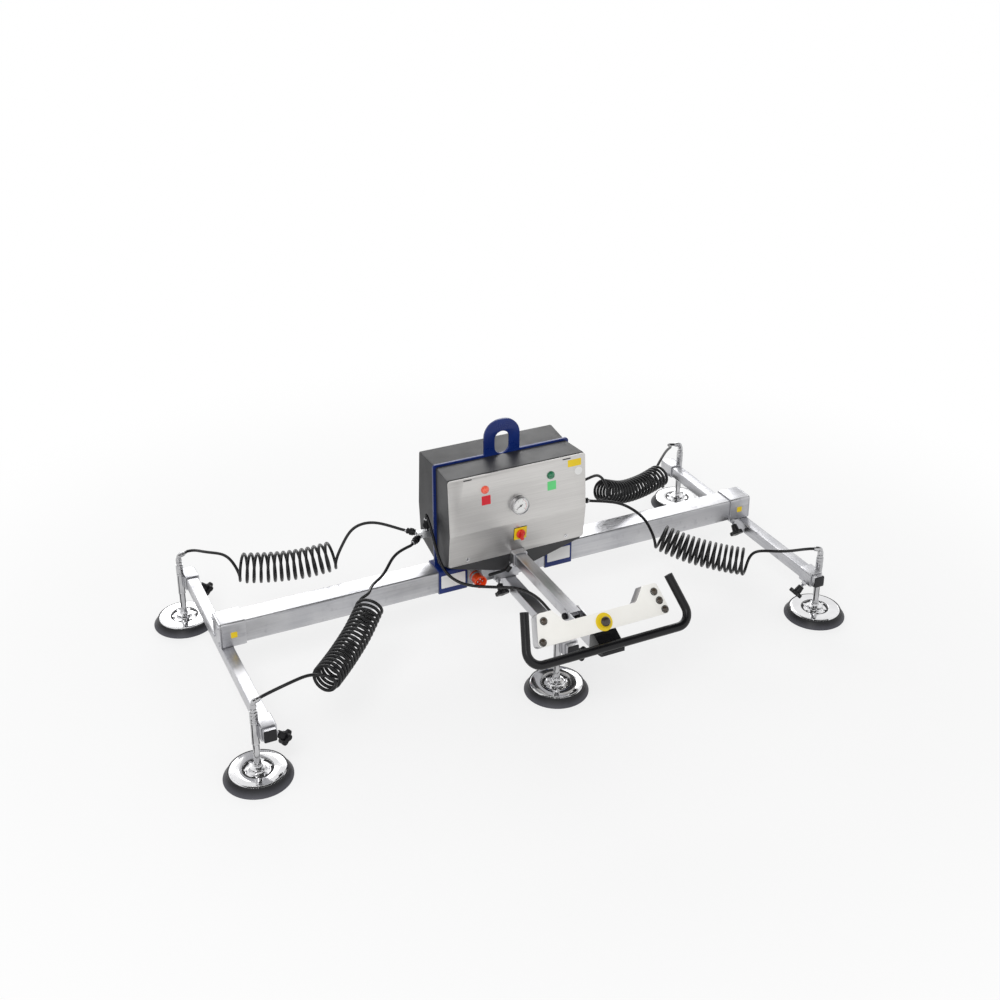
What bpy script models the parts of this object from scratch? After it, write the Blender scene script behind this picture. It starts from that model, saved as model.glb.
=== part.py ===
"""A vacuum lifter for sheet metal, with five suction pads on a main beam and three crossbeams.

Lengths are in metres and +Z is up.  The main beam lies along X and the operator stands on the -Y side.
Heights count from the lips of the pads.  Places across the floor count from the middle of the main beam,
and one empty shifts the whole machine so that the origin lies under the middle of its box.
"""
import math

import bmesh
import bpy
from mathutils import Matrix, Vector

for thing in list(bpy.data.objects):
    bpy.data.objects.remove(thing, do_unlink=True)

# Gaps and bites between neighbouring pieces
FIT = 0.0003
RUNNING_FIT = 0.0005
WELD = 0.0008

# Main beam: square tube closed by bolted stop plates
BEAM_SIDE = 0.080
BEAM_WALL = 0.004
BEAM_CORNER = 0.006
BEAM_HALF_LENGTH = 0.995
STOP_PLATE_THICKNESS = 0.005
STOP_BOLT_RADIUS = 0.0068
STOP_BOLT_HEAD = 0.005
STOP_BOLT_INSET = 0.014
DRAIN_HOLE_RADIUS = 0.005
DRAIN_HOLE_INSET = 0.150

# Sleeves that slide on the main beam
SLEEVE_WALL = 0.0047
SLEEVE_CORNER = 0.008
END_SLEEVE_LENGTH = 0.0775
CENTRE_SLEEVE_LENGTH = 0.090

# Crossbeams: square tubes with plastic plugs in their ends
CROSS_SIDE = 0.040
CROSS_WALL = 0.003
CROSS_CORNER = 0.004
CROSS_UNDERSIDE = 0.147
CROSS_HALF_LENGTH = 0.500
CENTRE_CROSS_REAR = 0.060
CENTRE_CROSS_X = 0.016
END_CROSS_INSET = 0.017
PLUG_FLANGE = 0.003
PLUG_STEP = 0.0008

# Pad holders: a square sleeve with a guide tube welded beside it
PAD_Y = 0.450
HOLDER_WALL = 0.0047
HOLDER_CORNER = 0.006
HOLDER_LENGTH = 0.060
PLUNGER_OFFSET = 0.033
GUIDE_RADIUS = 0.0125
GUIDE_BELOW = 0.048
GUIDE_ABOVE = 0.031

# Suction pads
LIP_RADIUS = 0.105
LIP_NECK_RADIUS = 0.0900
LIP_HEIGHT = 0.0275
LIP_EDGE_WIDTH = 0.006
LIP_INNER_RADIUS = 0.060
LIP_CEILING = 0.010
PLATE_RADIUS = 0.0865
PLATE_THICKNESS = 0.0155
PLATE_TOP = 0.030
PLATE_RECESS_RADIUS = 0.048
PLATE_RECESS_DEPTH = 0.005
HUB_RADIUS = 0.025
HUB_TOP = 0.039
COLLAR_FOOT_RADIUS = 0.014
COLLAR_FOOT_TOP = 0.048
PORT_RADIUS = 0.006
ROD_RADIUS = 0.0105
STOP_COLLAR_RADIUS = 0.0125
STOP_COLLAR_HEIGHT = 0.033
TOP_NUT_RADIUS = 0.0115
TOP_NUT_HEIGHT = 0.024
ELBOW_RADIUS = 0.009
ELBOW_RISE = 0.011
ELBOW_REACH = 0.024
ELBOW_YAW = math.radians(22)
PAD_SEGMENTS = 16

# Star knobs
KNOB_RADIUS = 0.0255
KNOB_LOBES = 5
KNOB_LOBE_DEPTH = 0.005
KNOB_THICKNESS = 0.014
KNOB_HUB_RADIUS = 0.0125
KNOB_HUB_LENGTH = 0.024
KNOB_SCREW_RADIUS = 0.005
KNOB_SCREW_LENGTH = 0.022
KNOB_BOSS_RADIUS = 0.0095
KNOB_BOSS_HEIGHT = 0.007
END_SLEEVE_KNOB_INSET = 0.012
CENTRE_SLEEVE_KNOB_X = -0.048

# Lifting frame: a plate on two saddles, with the socket of the operator arm
FRAME_PLATE = 0.010
FRAME_HALF_WIDTH = 0.250
FRAME_PROUD = 0.007
FRAME_CORNER = 0.010
FRAME_ARCH = 0.009
SADDLE_LENGTH = 0.102
SADDLE_LIP = 0.001
LUG_HALF_WIDTH = 0.065
LUG_RISE = 0.119
LUG_SLOT_WIDTH = 0.054
LUG_SLOT_SINK = 0.006
LUG_CROWN = 0.043

# Housing shells, front and rear
SHELL_WALL = 0.003
SHELL_HALF_WIDTH_INNER = 0.241
SHELL_HALF_WIDTH_OUTER = 0.249
SHELL_TOP_OUTER = 0.653
SHELL_TOP_SLOPE = 0.005
SHELL_BOTTOM_INNER = 0.284
SHELL_BOTTOM_OUTER = 0.330
SHELL_BEND_HEIGHT = 0.455
SHELL_DEPTH_TOP = 0.121
SHELL_DEPTH_BEND = 0.135
SHELL_DEPTH_BOTTOM = 0.121
SHELL_EDGE = 0.006
SKIRT_TOP = 0.350
SKIRT_HALF_WIDTH = 0.240
SKIRT_SHOULDER = 0.075
SKIRT_SHOULDER_HEIGHT = 0.277
SKIRT_TIP_HEIGHT = 0.262
SKIRT_INSET = 0.0006

# Front panel
PANEL_HALF_WIDTH = 0.250
PANEL_MARGIN_TOP = 0.001
PANEL_MARGIN_BOTTOM = 0.004
PANEL_SHEET = 0.002
PANEL_CORNER = 0.009
HINGE_SLOT_X = 0.180
HINGE_SLOT_WIDTH = 0.030
HINGE_SLOT_HEIGHT = 0.004
HINGE_SLOT_DROP = 0.007
LOCK_X = 0.183
LOCK_INSET = 0.018
LOCK_RADIUS = 0.007
LOCK_HEIGHT = 0.002

# What the front panel carries
LAMP_X = 0.120
LAMP_DROP = 0.055
LAMP_RADIUS = 0.014
LAMP_RISE = 0.012
GAUGE_DROP = 0.133
GAUGE_RADIUS = 0.031
GAUGE_DEPTH = 0.020
GAUGE_BEZEL = 0.003
GAUGE_RECESS = 0.005
NEEDLE_LENGTH = 0.021
NEEDLE_TAIL = 0.007
NEEDLE_THICKNESS = 0.0008
NEEDLE_HUB_RADIUS = 0.003
NEEDLE_REST = math.radians(120)
SWITCH_X = 0.006
SWITCH_DROP = 0.243
SWITCH_PLATE_SIDE = 0.048
SWITCH_PLATE_THICKNESS = 0.003
SWITCH_KNOB_RADIUS = 0.016
SWITCH_KNOB_BASE = 0.007
SWITCH_GRIP_WIDTH = 0.009
SWITCH_GRIP_HEIGHT = 0.012

# Operator arm and its clamp
ARM_SIDE = 0.040
ARM_WALL = 0.003
ARM_CORNER = 0.004
ARM_UNDERSIDE = 0.300
ARM_REAR = -0.010
ARM_FRONT = -0.534
SOCKET_WALL = 0.0047
SOCKET_FRONT = -0.150
CLAMP_INSET = 0.017
CLAMP_HUB_RADIUS = 0.009
CLAMP_HUB_LENGTH = 0.022
CLAMP_LEVER_LENGTH = 0.078
CLAMP_LEVER_RADIUS = 0.0055
CLAMP_LEVER_TILT = math.radians(40)

# Handle: fork, control box, bracket and bar, turning about the fork's bolt
PIVOT_Y = -0.515
BOLT_RADIUS = 0.006
BOLT_HEAD_RADIUS = 0.011
BOLT_HEAD_HEIGHT = 0.011
BOLT_NUT_RADIUS = 0.009
BOLT_NUT_HEIGHT = 0.007
FORK_PLATE = 0.005
FORK_FRONT = -0.690
FORK_MARGIN = 0.004
BOX_TILT = math.radians(37.6)
BOX_FOOT_Y = -0.723
BOX_FOOT_Z = 0.387
BOX_HALF_WIDTH_BOTTOM = 0.226
BOX_HALF_WIDTH_TOP = 0.204
BOX_EAR_INNER = 0.154
BOX_NOTCH_HALF_WIDTH = 0.120
BOX_BAND_HEIGHT = 0.056
BOX_EAR_HEIGHT = 0.098
BOX_DEPTH = 0.045
BOX_CORNER = 0.014
BAR_RADIUS = 0.0135
BAR_DROP = 0.0475
BAR_LEAD = 0.012
BAR_RISE = 0.111
BAR_HALF_WIDTH_TOP = 0.245
BAR_HALF_WIDTH_BOTTOM = 0.282
BAR_BEND = 0.042
BRACKET_HALF_WIDTH = 0.038
BUTTON_RADIUS = 0.010
BUTTON_STEM_RADIUS = 0.0075
BUTTON_STEM_LENGTH = 0.008
BUTTON_CAP_BASE = 0.0035
BUTTON_CAP_TOP = 0.0085
BUTTON_TRAVEL = 0.003
BUTTON_OUTER = (0.208, 0.014)
BUTTON_INNER = (0.188, 0.073)
STOP_BUTTON_V = 0.025
STOP_BUTTON_RADIUS = 0.015
STOP_BUTTON_STEM_RADIUS = 0.009
STOP_BUTTON_NECK = 0.007
STOP_BUTTON_RISE = 0.020
STOP_BUTTON_TRAVEL = 0.004

# Vacuum hoses and manifolds
HOSE_RADIUS = 0.005
HOSE_STEP = 0.030
COIL_STEP = 0.075
COIL_END = 0.002
PORT_LEAD = 0.012
ELBOW_LEAD = 0.030
COUPLING_RADIUS = 0.009
COUPLING_RING_RADIUS = 0.012
COUPLING_LENGTH = 0.050
MANIFOLD_SIDE = 0.022
MANIFOLD_LENGTH = 0.060
MANIFOLD_Z = 0.400
MANIFOLD_STANDOFF = 0.003

# Mains inlet and what the housing holds
INLET_X = -0.121
INLET_RADIUS = 0.022
INLET_LENGTH = 0.050
INLET_FLANGE_WIDTH = 0.050
INLET_FLANGE_HEIGHT = 0.060
INLET_FLANGE_THICKNESS = 0.008
PUMP_RADIUS = 0.048
PUMP_LENGTH = 0.150
PUMP_Z = 0.440
TANK_RADIUS = 0.045
TANK_LENGTH = 0.380
TANK_Z = 0.560
FOOT_WIDTH = 0.024
FOOT_HEIGHT = 0.004

# Levels and places that follow from the sizes above
CROSS_Z = CROSS_UNDERSIDE + CROSS_SIDE / 2
CROSS_TOP = CROSS_UNDERSIDE + CROSS_SIDE
SLEEVE_SIDE = BEAM_SIDE + 2 * (RUNNING_FIT + SLEEVE_WALL)
BEAM_Z = CROSS_TOP - WELD + SLEEVE_SIDE / 2
SLEEVE_TOP = BEAM_Z + SLEEVE_SIDE / 2
END_CROSS_X = BEAM_HALF_LENGTH - END_CROSS_INSET
HOLDER_SIDE = CROSS_SIDE + 2 * (RUNNING_FIT + HOLDER_WALL)
GUIDE_BORE_RADIUS = ROD_RADIUS + RUNNING_FIT
ARM_Z = ARM_UNDERSIDE + ARM_SIDE / 2
SOCKET_SIDE = ARM_SIDE + 2 * (RUNNING_FIT + SOCKET_WALL)
BAR_FRONT = (
    BOX_FOOT_Y - BAR_DROP * math.sin(BOX_TILT) - BAR_LEAD * math.cos(BOX_TILT) - BAR_RADIUS
)
BACK_EDGE = PAD_Y + LIP_RADIUS
SHELL_TOP_INNER = SHELL_TOP_OUTER - SHELL_TOP_SLOPE
FRAME_TOP = SHELL_TOP_INNER + FRAME_PROUD
LUG_TOP = FRAME_TOP + LUG_RISE
LUG_SLOT_BOTTOM = FRAME_TOP - LUG_SLOT_SINK
LUG_SLOT_TOP = LUG_TOP - LUG_CROWN
PANEL_TOP = SHELL_TOP_OUTER - PANEL_MARGIN_TOP
PANEL_BOTTOM = SHELL_BOTTOM_OUTER + PANEL_MARGIN_BOTTOM
LOCK_Z = PANEL_BOTTOM + LOCK_INSET
LAMP_Z = SHELL_TOP_OUTER - LAMP_DROP
GAUGE_Z = SHELL_TOP_OUTER - GAUGE_DROP
SWITCH_Z = SHELL_TOP_OUTER - SWITCH_DROP

parts = bpy.data.collections.new("vacuum_lifter")
bpy.context.scene.collection.children.link(parts)


# Materials

def finish(name, colour, roughness, metallic=0.0):
    """Make a Principled material in one colour."""
    made = bpy.data.materials.new(name)
    made.use_nodes = True
    shader = made.node_tree.nodes["Principled BSDF"]
    shader.inputs["Base Color"].default_value = (*colour, 1.0)
    shader.inputs["Roughness"].default_value = roughness
    shader.inputs["Metallic"].default_value = metallic
    made.diffuse_color = (*colour, 1.0)
    return made


ZINC = finish("zinc_plated_steel", (0.62, 0.63, 0.64), 0.38, 1.0)
CHROME = finish("chromed_steel", (0.80, 0.80, 0.81), 0.12, 1.0)
STAINLESS = finish("brushed_stainless", (0.60, 0.58, 0.55), 0.34, 1.0)
BLUE_PAINT = finish("blue_paint", (0.012, 0.035, 0.20), 0.35)
BLACK_COAT = finish("black_powder_coat", (0.02, 0.02, 0.022), 0.55)
BLACK_PLASTIC = finish("black_plastic", (0.012, 0.012, 0.013), 0.40)
RUBBER = finish("black_rubber", (0.015, 0.015, 0.016), 0.70)
HOSE_PLASTIC = finish("black_hose", (0.010, 0.010, 0.011), 0.35)
CREAM_COAT = finish("cream_coat", (0.80, 0.78, 0.70), 0.45)
ALUMINIUM = finish("bare_aluminium", (0.70, 0.71, 0.72), 0.40, 1.0)
RED_LENS = finish("red_lens", (0.60, 0.02, 0.02), 0.20)
GREEN_LENS = finish("green_lens", (0.02, 0.42, 0.06), 0.20)
RED_PLASTIC = finish("red_plastic", (0.55, 0.02, 0.02), 0.40)
ORANGE_PLASTIC = finish("orange_plastic", (0.75, 0.12, 0.03), 0.45)
YELLOW_PLASTIC = finish("yellow_plastic", (0.80, 0.60, 0.03), 0.45)
GREY_COAT = finish("grey_coat", (0.30, 0.31, 0.32), 0.50)


# Tools for making solids

def new_object(name, data):
    """Link a new object made from a mesh or a curve."""
    obj = bpy.data.objects.new(name, data)
    parts.objects.link(obj)
    return obj


def from_bmesh(name, bm):
    """Turn a bmesh into an object with its faces pointing out."""
    bmesh.ops.recalc_face_normals(bm, faces=bm.faces)
    mesh = bpy.data.meshes.new(name)
    bm.to_mesh(mesh)
    bm.free()
    return new_object(name, mesh)


def settle(obj):
    """Replace a curve or an object with modifiers by its evaluated mesh, with its seams welded."""
    evaluated = obj.evaluated_get(bpy.context.evaluated_depsgraph_get())
    mesh = bpy.data.meshes.new_from_object(evaluated)
    bm = bmesh.new()
    bm.from_mesh(mesh)
    bmesh.ops.remove_doubles(bm, verts=bm.verts, dist=0.00001)
    bmesh.ops.recalc_face_normals(bm, faces=bm.faces)
    bm.to_mesh(mesh)
    bm.free()
    name = obj.name
    bpy.data.objects.remove(obj, do_unlink=True)
    return new_object(name, mesh)


def shaped(obj, operation, tools):
    """Join other solids to an object or cut them out of it, and use them up."""
    for tool in tools:
        modifier = obj.modifiers.new(tool.name, "BOOLEAN")
        modifier.operation = operation
        modifier.object = tool
    solid = settle(obj)
    for tool in tools:
        bpy.data.objects.remove(tool, do_unlink=True)
    return solid


def join(obj, *tools):
    """Weld solids into one."""
    return shaped(obj, "UNION", tools)


def cut(obj, *tools):
    """Take solids out of another."""
    return shaped(obj, "DIFFERENCE", tools)


def shift(obj, x=0.0, y=0.0, z=0.0):
    """Move a solid within its own frame."""
    obj.data.transform(Matrix.Translation((x, y, z)))
    return obj


def turn(obj, angle, axis):
    """Turn a solid about an axis of its own frame."""
    obj.data.transform(Matrix.Rotation(angle, 4, axis))
    return obj


def block(name, low, high, radius=0.0, along=None):
    """A box between two corners, with its edges rounded along one axis or everywhere."""
    low = Vector(low)
    high = Vector(high)
    bm = bmesh.new()
    bmesh.ops.create_cube(bm, size=1.0)
    size = high - low
    bmesh.ops.transform(bm, matrix=Matrix.Diagonal((*size, 1.0)), verts=bm.verts)
    bmesh.ops.translate(bm, vec=(low + high) / 2, verts=bm.verts)
    if radius:
        axis = None if along is None else "XYZ".index(along)
        edges = []
        for edge in bm.edges:
            direction = edge.verts[1].co - edge.verts[0].co
            if axis is None or abs(direction[axis]) > direction.length / 2:
                edges.append(edge)
        bmesh.ops.bevel(
            bm, geom=edges, offset=radius, segments=2, profile=0.5, affect="EDGES", clamp_overlap=True
        )
    return from_bmesh(name, bm)


def pin(name, start, end, radius, segments=16, end_radius=None):
    """A round bar or a cone between two points."""
    start = Vector(start)
    end = Vector(end)
    bm = bmesh.new()
    run = end - start
    placed = Matrix.Translation((start + end) / 2) @ run.to_track_quat("Z", "Y").to_matrix().to_4x4()
    bmesh.ops.create_cone(
        bm,
        cap_ends=True,
        segments=segments,
        radius1=radius,
        radius2=radius if end_radius is None else end_radius,
        depth=run.length,
        matrix=placed,
    )
    return from_bmesh(name, bm)


def turned(name, profile, segments=24, closed=False):
    """Turn (radius, height) points about Z; a closed profile makes a ring."""
    bm = bmesh.new()
    corners = [bm.verts.new((radius, 0.0, height)) for radius, height in profile]
    for first, second in zip(corners, corners[1:]):
        bm.edges.new((first, second))
    if closed:
        bm.edges.new((corners[-1], corners[0]))
    mesh = bpy.data.meshes.new(name)
    bm.to_mesh(mesh)
    bm.free()
    obj = new_object(name, mesh)
    screw = obj.modifiers.new("turn", "SCREW")
    screw.steps = segments
    screw.render_steps = segments
    screw.use_merge_vertices = True
    screw.merge_threshold = 0.00001
    return settle(obj)


def rounded(corners, radii, steps=3):
    """Round the corners of a polygon with arcs; a radius of zero leaves a corner sharp."""
    points = []
    count = len(corners)
    for index, (corner, radius) in enumerate(zip(corners, radii)):
        here = Vector(corner)
        if radius == 0:
            points.append((here.x, here.y))
            continue
        before = (Vector(corners[index - 1]) - here).normalized()
        after = (Vector(corners[(index + 1) % count]) - here).normalized()
        half_angle = before.angle(after) / 2
        centre = here + (before + after).normalized() * radius / math.sin(half_angle)
        start = here + before * radius / math.tan(half_angle) - centre
        sweep = math.pi - 2 * half_angle
        if before.x * after.y - before.y * after.x > 0:
            sweep = -sweep
        for step in range(steps + 1):
            angle = sweep * step / steps
            points.append((
                centre.x + start.x * math.cos(angle) - start.y * math.sin(angle),
                centre.y + start.x * math.sin(angle) + start.y * math.cos(angle),
            ))
    return points


def rectangle(low, high, radius=0.0, steps=3):
    """The outline of a rectangle with equal corners."""
    corners = [low, (high[0], low[1]), high, (low[0], high[1])]
    return rounded(corners, [radius] * 4, steps)


def square(side, radius=0.0):
    """The outline of a square about the origin, with the corner of a drawn tube."""
    return rectangle((-side / 2, -side / 2), (side / 2, side / 2), radius, 2)


def circle(radius, segments, centre=(0.0, 0.0)):
    """Points round a circle."""
    turns = [2 * math.pi * step / segments for step in range(segments)]
    return [(centre[0] + radius * math.cos(a), centre[1] + radius * math.sin(a)) for a in turns]


PLANES = {
    "XY": Matrix(((1, 0, 0, 0), (0, 1, 0, 0), (0, 0, 1, 0), (0, 0, 0, 1))),
    "XZ": Matrix(((1, 0, 0, 0), (0, 0, 1, 0), (0, 1, 0, 0), (0, 0, 0, 1))),
    "YZ": Matrix(((0, 0, 1, 0), (1, 0, 0, 0), (0, 1, 0, 0), (0, 0, 0, 1))),
}


def outline(name, loops, low, high, plane="XY"):
    """Extrude flat loops, the later ones holes, from one level to another across a plane."""
    curve = bpy.data.curves.new(name, "CURVE")
    curve.dimensions = "2D"
    curve.fill_mode = "BOTH"
    curve.extrude = (high - low) / 2
    for loop in loops:
        spline = curve.splines.new("POLY")
        spline.points.add(len(loop) - 1)
        for point, (across, up) in zip(spline.points, loop):
            point.co = (across, up, 0.0, 1.0)
        spline.use_cyclic_u = True
    solid = settle(new_object(name, curve))
    shift(solid, z=(low + high) / 2)
    solid.data.transform(PLANES[plane])
    bm = bmesh.new()
    bm.from_mesh(solid.data)
    bmesh.ops.recalc_face_normals(bm, faces=bm.faces)
    bm.to_mesh(solid.data)
    bm.free()
    return solid


def smooth_route(points, step):
    """Points along a smooth curve through the given ones, about one step apart."""
    route = [Vector(point) for point in points]
    ends = [2 * route[0] - route[1], *route, 2 * route[-1] - route[-2]]
    samples = []
    for before, start, end, after in zip(ends, ends[1:], ends[2:], ends[3:]):
        count = max(1, round((end - start).length / step))
        for index in range(count):
            t = index / count
            samples.append(0.5 * (
                2 * start
                + (end - before) * t
                + (2 * before - 5 * start + 4 * end - after) * t ** 2
                + (3 * start - before - 3 * end + after) * t ** 3
            ))
    samples.append(route[-1])
    return samples


def pipe(name, points, radius, radii=None, resolution=3):
    """A round tube along points, with filled ends; radii give it another radius at each point."""
    curve = bpy.data.curves.new(name, "CURVE")
    curve.dimensions = "3D"
    curve.bevel_depth = radius
    curve.bevel_resolution = resolution
    curve.use_fill_caps = True
    spline = curve.splines.new("POLY")
    spline.points.add(len(points) - 1)
    for index, (point, place) in enumerate(zip(spline.points, points)):
        point.co = (*place, 1.0)
        if radii:
            point.radius = radii[index] / radius
    return new_object(name, curve)


def copy_of(obj, name):
    """A second object with the same mesh."""
    return new_object(name, obj.data)


def dress(obj, made_of, sharp=30):
    """Give a solid its material and shade its round faces smooth."""
    obj.data.materials.clear()
    obj.data.materials.append(made_of)
    if obj.type == "MESH":
        obj.data.shade_smooth()
        obj.data.set_sharp_from_angle(angle=math.radians(sharp))
    return obj


def place(obj, parent, location=(0.0, 0.0, 0.0), rotation=None):
    """Hang an object on its parent."""
    obj.parent = parent
    obj.location = location
    if rotation is not None:
        obj.rotation_mode = "QUATERNION"
        obj.rotation_quaternion = rotation
    return obj


def axis_empty(name, parent, location=(0.0, 0.0, 0.0), rotation=None):
    """An empty on a joint's axis, to carry what moves with the joint."""
    empty = bpy.data.objects.new(name, None)
    empty.empty_display_size = 0.05
    parts.objects.link(empty)
    return place(empty, parent, location, rotation)


def along(direction, roll="Y"):
    """The turn that lays Z along a direction."""
    return Vector(direction).to_track_quat("Z", roll)


def yaw(angle):
    """A turn about the vertical."""
    return Matrix.Rotation(angle, 3, "Z").to_quaternion()


machine = axis_empty("machine", None, (0.0, -(BAR_FRONT + BACK_EDGE) / 2, 0.0))


# Main beam

def make_main_beam():
    """Square tube with a stop plate bolted on each end; the drain holes of the zinc bath are below."""
    bore = square(BEAM_SIDE - 2 * BEAM_WALL, BEAM_CORNER - BEAM_WALL / 2)
    tube = outline(
        "main_beam", [square(BEAM_SIDE, BEAM_CORNER), bore], -BEAM_HALF_LENGTH, BEAM_HALF_LENGTH, "YZ"
    )
    bolt_place = SLEEVE_SIDE / 2 - STOP_BOLT_INSET
    fittings = []
    holes = []
    for side in (-1, 1):
        inner = side * (BEAM_HALF_LENGTH - WELD)
        outer = side * (BEAM_HALF_LENGTH + STOP_PLATE_THICKNESS)
        plate = square(SLEEVE_SIDE - 2 * (WELD + FIT), SLEEVE_CORNER)
        fittings.append(outline("stop_plate", [plate], min(inner, outer), max(inner, outer), "YZ"))
        for across in (-bolt_place, bolt_place):
            for up in (-bolt_place, bolt_place):
                fittings.append(pin(
                    "stop_bolt",
                    (outer - side * WELD, across, up),
                    (outer + side * STOP_BOLT_HEAD, across, up),
                    STOP_BOLT_RADIUS,
                    6,
                ))
        hole_x = side * (BEAM_HALF_LENGTH - DRAIN_HOLE_INSET)
        floor = -BEAM_SIDE / 2
        holes.append(pin(
            "drain_hole", (hole_x, 0, floor - BEAM_WALL), (hole_x, 0, floor + 2 * BEAM_WALL), DRAIN_HOLE_RADIUS, 10
        ))
    return join(cut(tube, *holes), *fittings)


main_beam = dress(make_main_beam(), ZINC)
place(main_beam, machine, (0.0, 0.0, BEAM_Z))


# Star knobs

def make_star_knob(name):
    """Lobed grip with its hub and screw; the tip of the screw is at the origin and points down."""
    lobed = []
    for step in range(4 * KNOB_LOBES):
        angle = 2 * math.pi * step / (4 * KNOB_LOBES)
        radius = KNOB_RADIUS - KNOB_LOBE_DEPTH * (1 - math.cos(KNOB_LOBES * angle)) / 2
        lobed.append((radius * math.cos(angle), radius * math.sin(angle)))
    grip_low = KNOB_SCREW_LENGTH + KNOB_HUB_LENGTH
    grip = outline(name, [lobed], grip_low, grip_low + KNOB_THICKNESS)
    core = turned("core", [
        (0.0, grip_low + KNOB_THICKNESS - 2 * WELD),
        (KNOB_HUB_RADIUS, grip_low + KNOB_THICKNESS - 2 * WELD),
        (KNOB_HUB_RADIUS * 0.9, KNOB_SCREW_LENGTH),
        (KNOB_SCREW_RADIUS, KNOB_SCREW_LENGTH),
        (KNOB_SCREW_RADIUS, 0.0),
        (0.0, 0.0),
    ], 8)
    return join(grip, core)


def knob_seat(beam_side, beam_corner, outer_side, outer_corner, direction):
    """The threaded boss on a sleeve's edge, the hole through it, and the place of the screw's tip.

    All lie on a diagonal through the middle of the tube, along the direction given.
    """
    diagonal = Vector(direction).normalized()
    corner_cut = math.sqrt(2) - 1
    beam_edge = beam_side / math.sqrt(2) - beam_corner * corner_cut
    sleeve_edge = outer_side / math.sqrt(2) - outer_corner * corner_cut
    boss = pin(
        "boss", diagonal * (sleeve_edge - 0.6 * SLEEVE_WALL), diagonal * (sleeve_edge + KNOB_BOSS_HEIGHT),
        KNOB_BOSS_RADIUS, 6,
    )
    hole = pin(
        "screw_hole", diagonal * (beam_edge - 2 * SLEEVE_WALL), diagonal * (sleeve_edge + 2 * KNOB_BOSS_HEIGHT),
        KNOB_SCREW_RADIUS + FIT, 12,
    )
    return boss, hole, diagonal * (beam_edge + FIT)


star_knob = dress(make_star_knob("star_knob"), BLACK_PLASTIC)


# Crossbeams, each welded under a sleeve on the main beam

def make_crossbeam(name, low_y, high_y, sleeve_low, sleeve_high, knob_x, knob_side):
    """Square tube along Y with plugged ends, welded under a sleeve; the origin is in its section's middle."""
    bore = square(CROSS_SIDE - 2 * CROSS_WALL, CROSS_CORNER - CROSS_WALL / 2)
    tube = outline(
        name, [square(CROSS_SIDE, CROSS_CORNER), bore], low_y + PLUG_FLANGE, high_y - PLUG_FLANGE, "XZ"
    )
    plug = [square(CROSS_SIDE - 2 * PLUG_STEP, CROSS_CORNER)]
    ends = [
        outline("front_plug", plug, low_y, low_y + PLUG_FLANGE + WELD, "XZ"),
        outline("rear_plug", plug, high_y - PLUG_FLANGE - WELD, high_y, "XZ"),
    ]
    sleeve_z = BEAM_Z - CROSS_Z
    sleeve_bore = SLEEVE_SIDE - 2 * SLEEVE_WALL
    boss, hole, tip = knob_seat(
        BEAM_SIDE, BEAM_CORNER, SLEEVE_SIDE, SLEEVE_CORNER, (0.0, knob_side, -1.0)
    )
    sleeve = outline(
        "sleeve",
        [square(SLEEVE_SIDE, SLEEVE_CORNER), square(sleeve_bore, BEAM_CORNER)],
        sleeve_low, sleeve_high, "YZ",
    )
    for piece in (sleeve, boss, hole):
        shift(piece, z=sleeve_z)
    for piece in (boss, hole):
        shift(piece, x=knob_x)
    drains = []
    for end, inward in ((low_y, 1), (high_y, -1)):
        drain_y = end + inward * 2 * DRAIN_HOLE_RADIUS + inward * PLUG_FLANGE
        drains.append(pin(
            "drain_hole", (0, drain_y, -CROSS_SIDE), (0, drain_y, 0), DRAIN_HOLE_RADIUS / 2, 6
        ))
    beam = join(cut(tube, *drains), *ends)
    sleeve = cut(join(sleeve, boss), hole)
    return join(beam, sleeve), Vector((knob_x, 0.0, sleeve_z)) + tip


sleeve_outer = BEAM_HALF_LENGTH - WELD - FIT - END_CROSS_X
sleeve_inner = sleeve_outer - END_SLEEVE_LENGTH
end_knob_x = sleeve_inner + END_SLEEVE_KNOB_INSET
end_crossbeam, end_knob_seat = make_crossbeam(
    "right_crossbeam", -CROSS_HALF_LENGTH, CROSS_HALF_LENGTH, sleeve_inner, sleeve_outer, end_knob_x, -1.0
)
centre_sleeve_half = CENTRE_SLEEVE_LENGTH / 2
centre_crossbeam, centre_knob_seat = make_crossbeam(
    "centre_crossbeam", -CROSS_HALF_LENGTH, CENTRE_CROSS_REAR,
    -centre_sleeve_half - CENTRE_CROSS_X, centre_sleeve_half - CENTRE_CROSS_X, CENTRE_SLEEVE_KNOB_X, -1.0,
)
dress(end_crossbeam, ZINC)
dress(centre_crossbeam, ZINC)

# The left crossbeam is the right one turned half round, so its knob is at the back
crossbeams = {
    "right": place(end_crossbeam, machine, (END_CROSS_X, 0.0, CROSS_Z)),
    "left": place(copy_of(end_crossbeam, "left_crossbeam"), machine, (-END_CROSS_X, 0.0, CROSS_Z), yaw(math.pi)),
    "centre": place(centre_crossbeam, machine, (CENTRE_CROSS_X, 0.0, CROSS_Z)),
}
for side, seat in (("right", end_knob_seat), ("left", end_knob_seat), ("centre", centre_knob_seat)):
    knob = copy_of(star_knob, side + "_sleeve_knob")
    place(knob, crossbeams[side], seat, along((0.0, -1.0, -1.0)))


# Pad holders, plungers and lips

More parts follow.
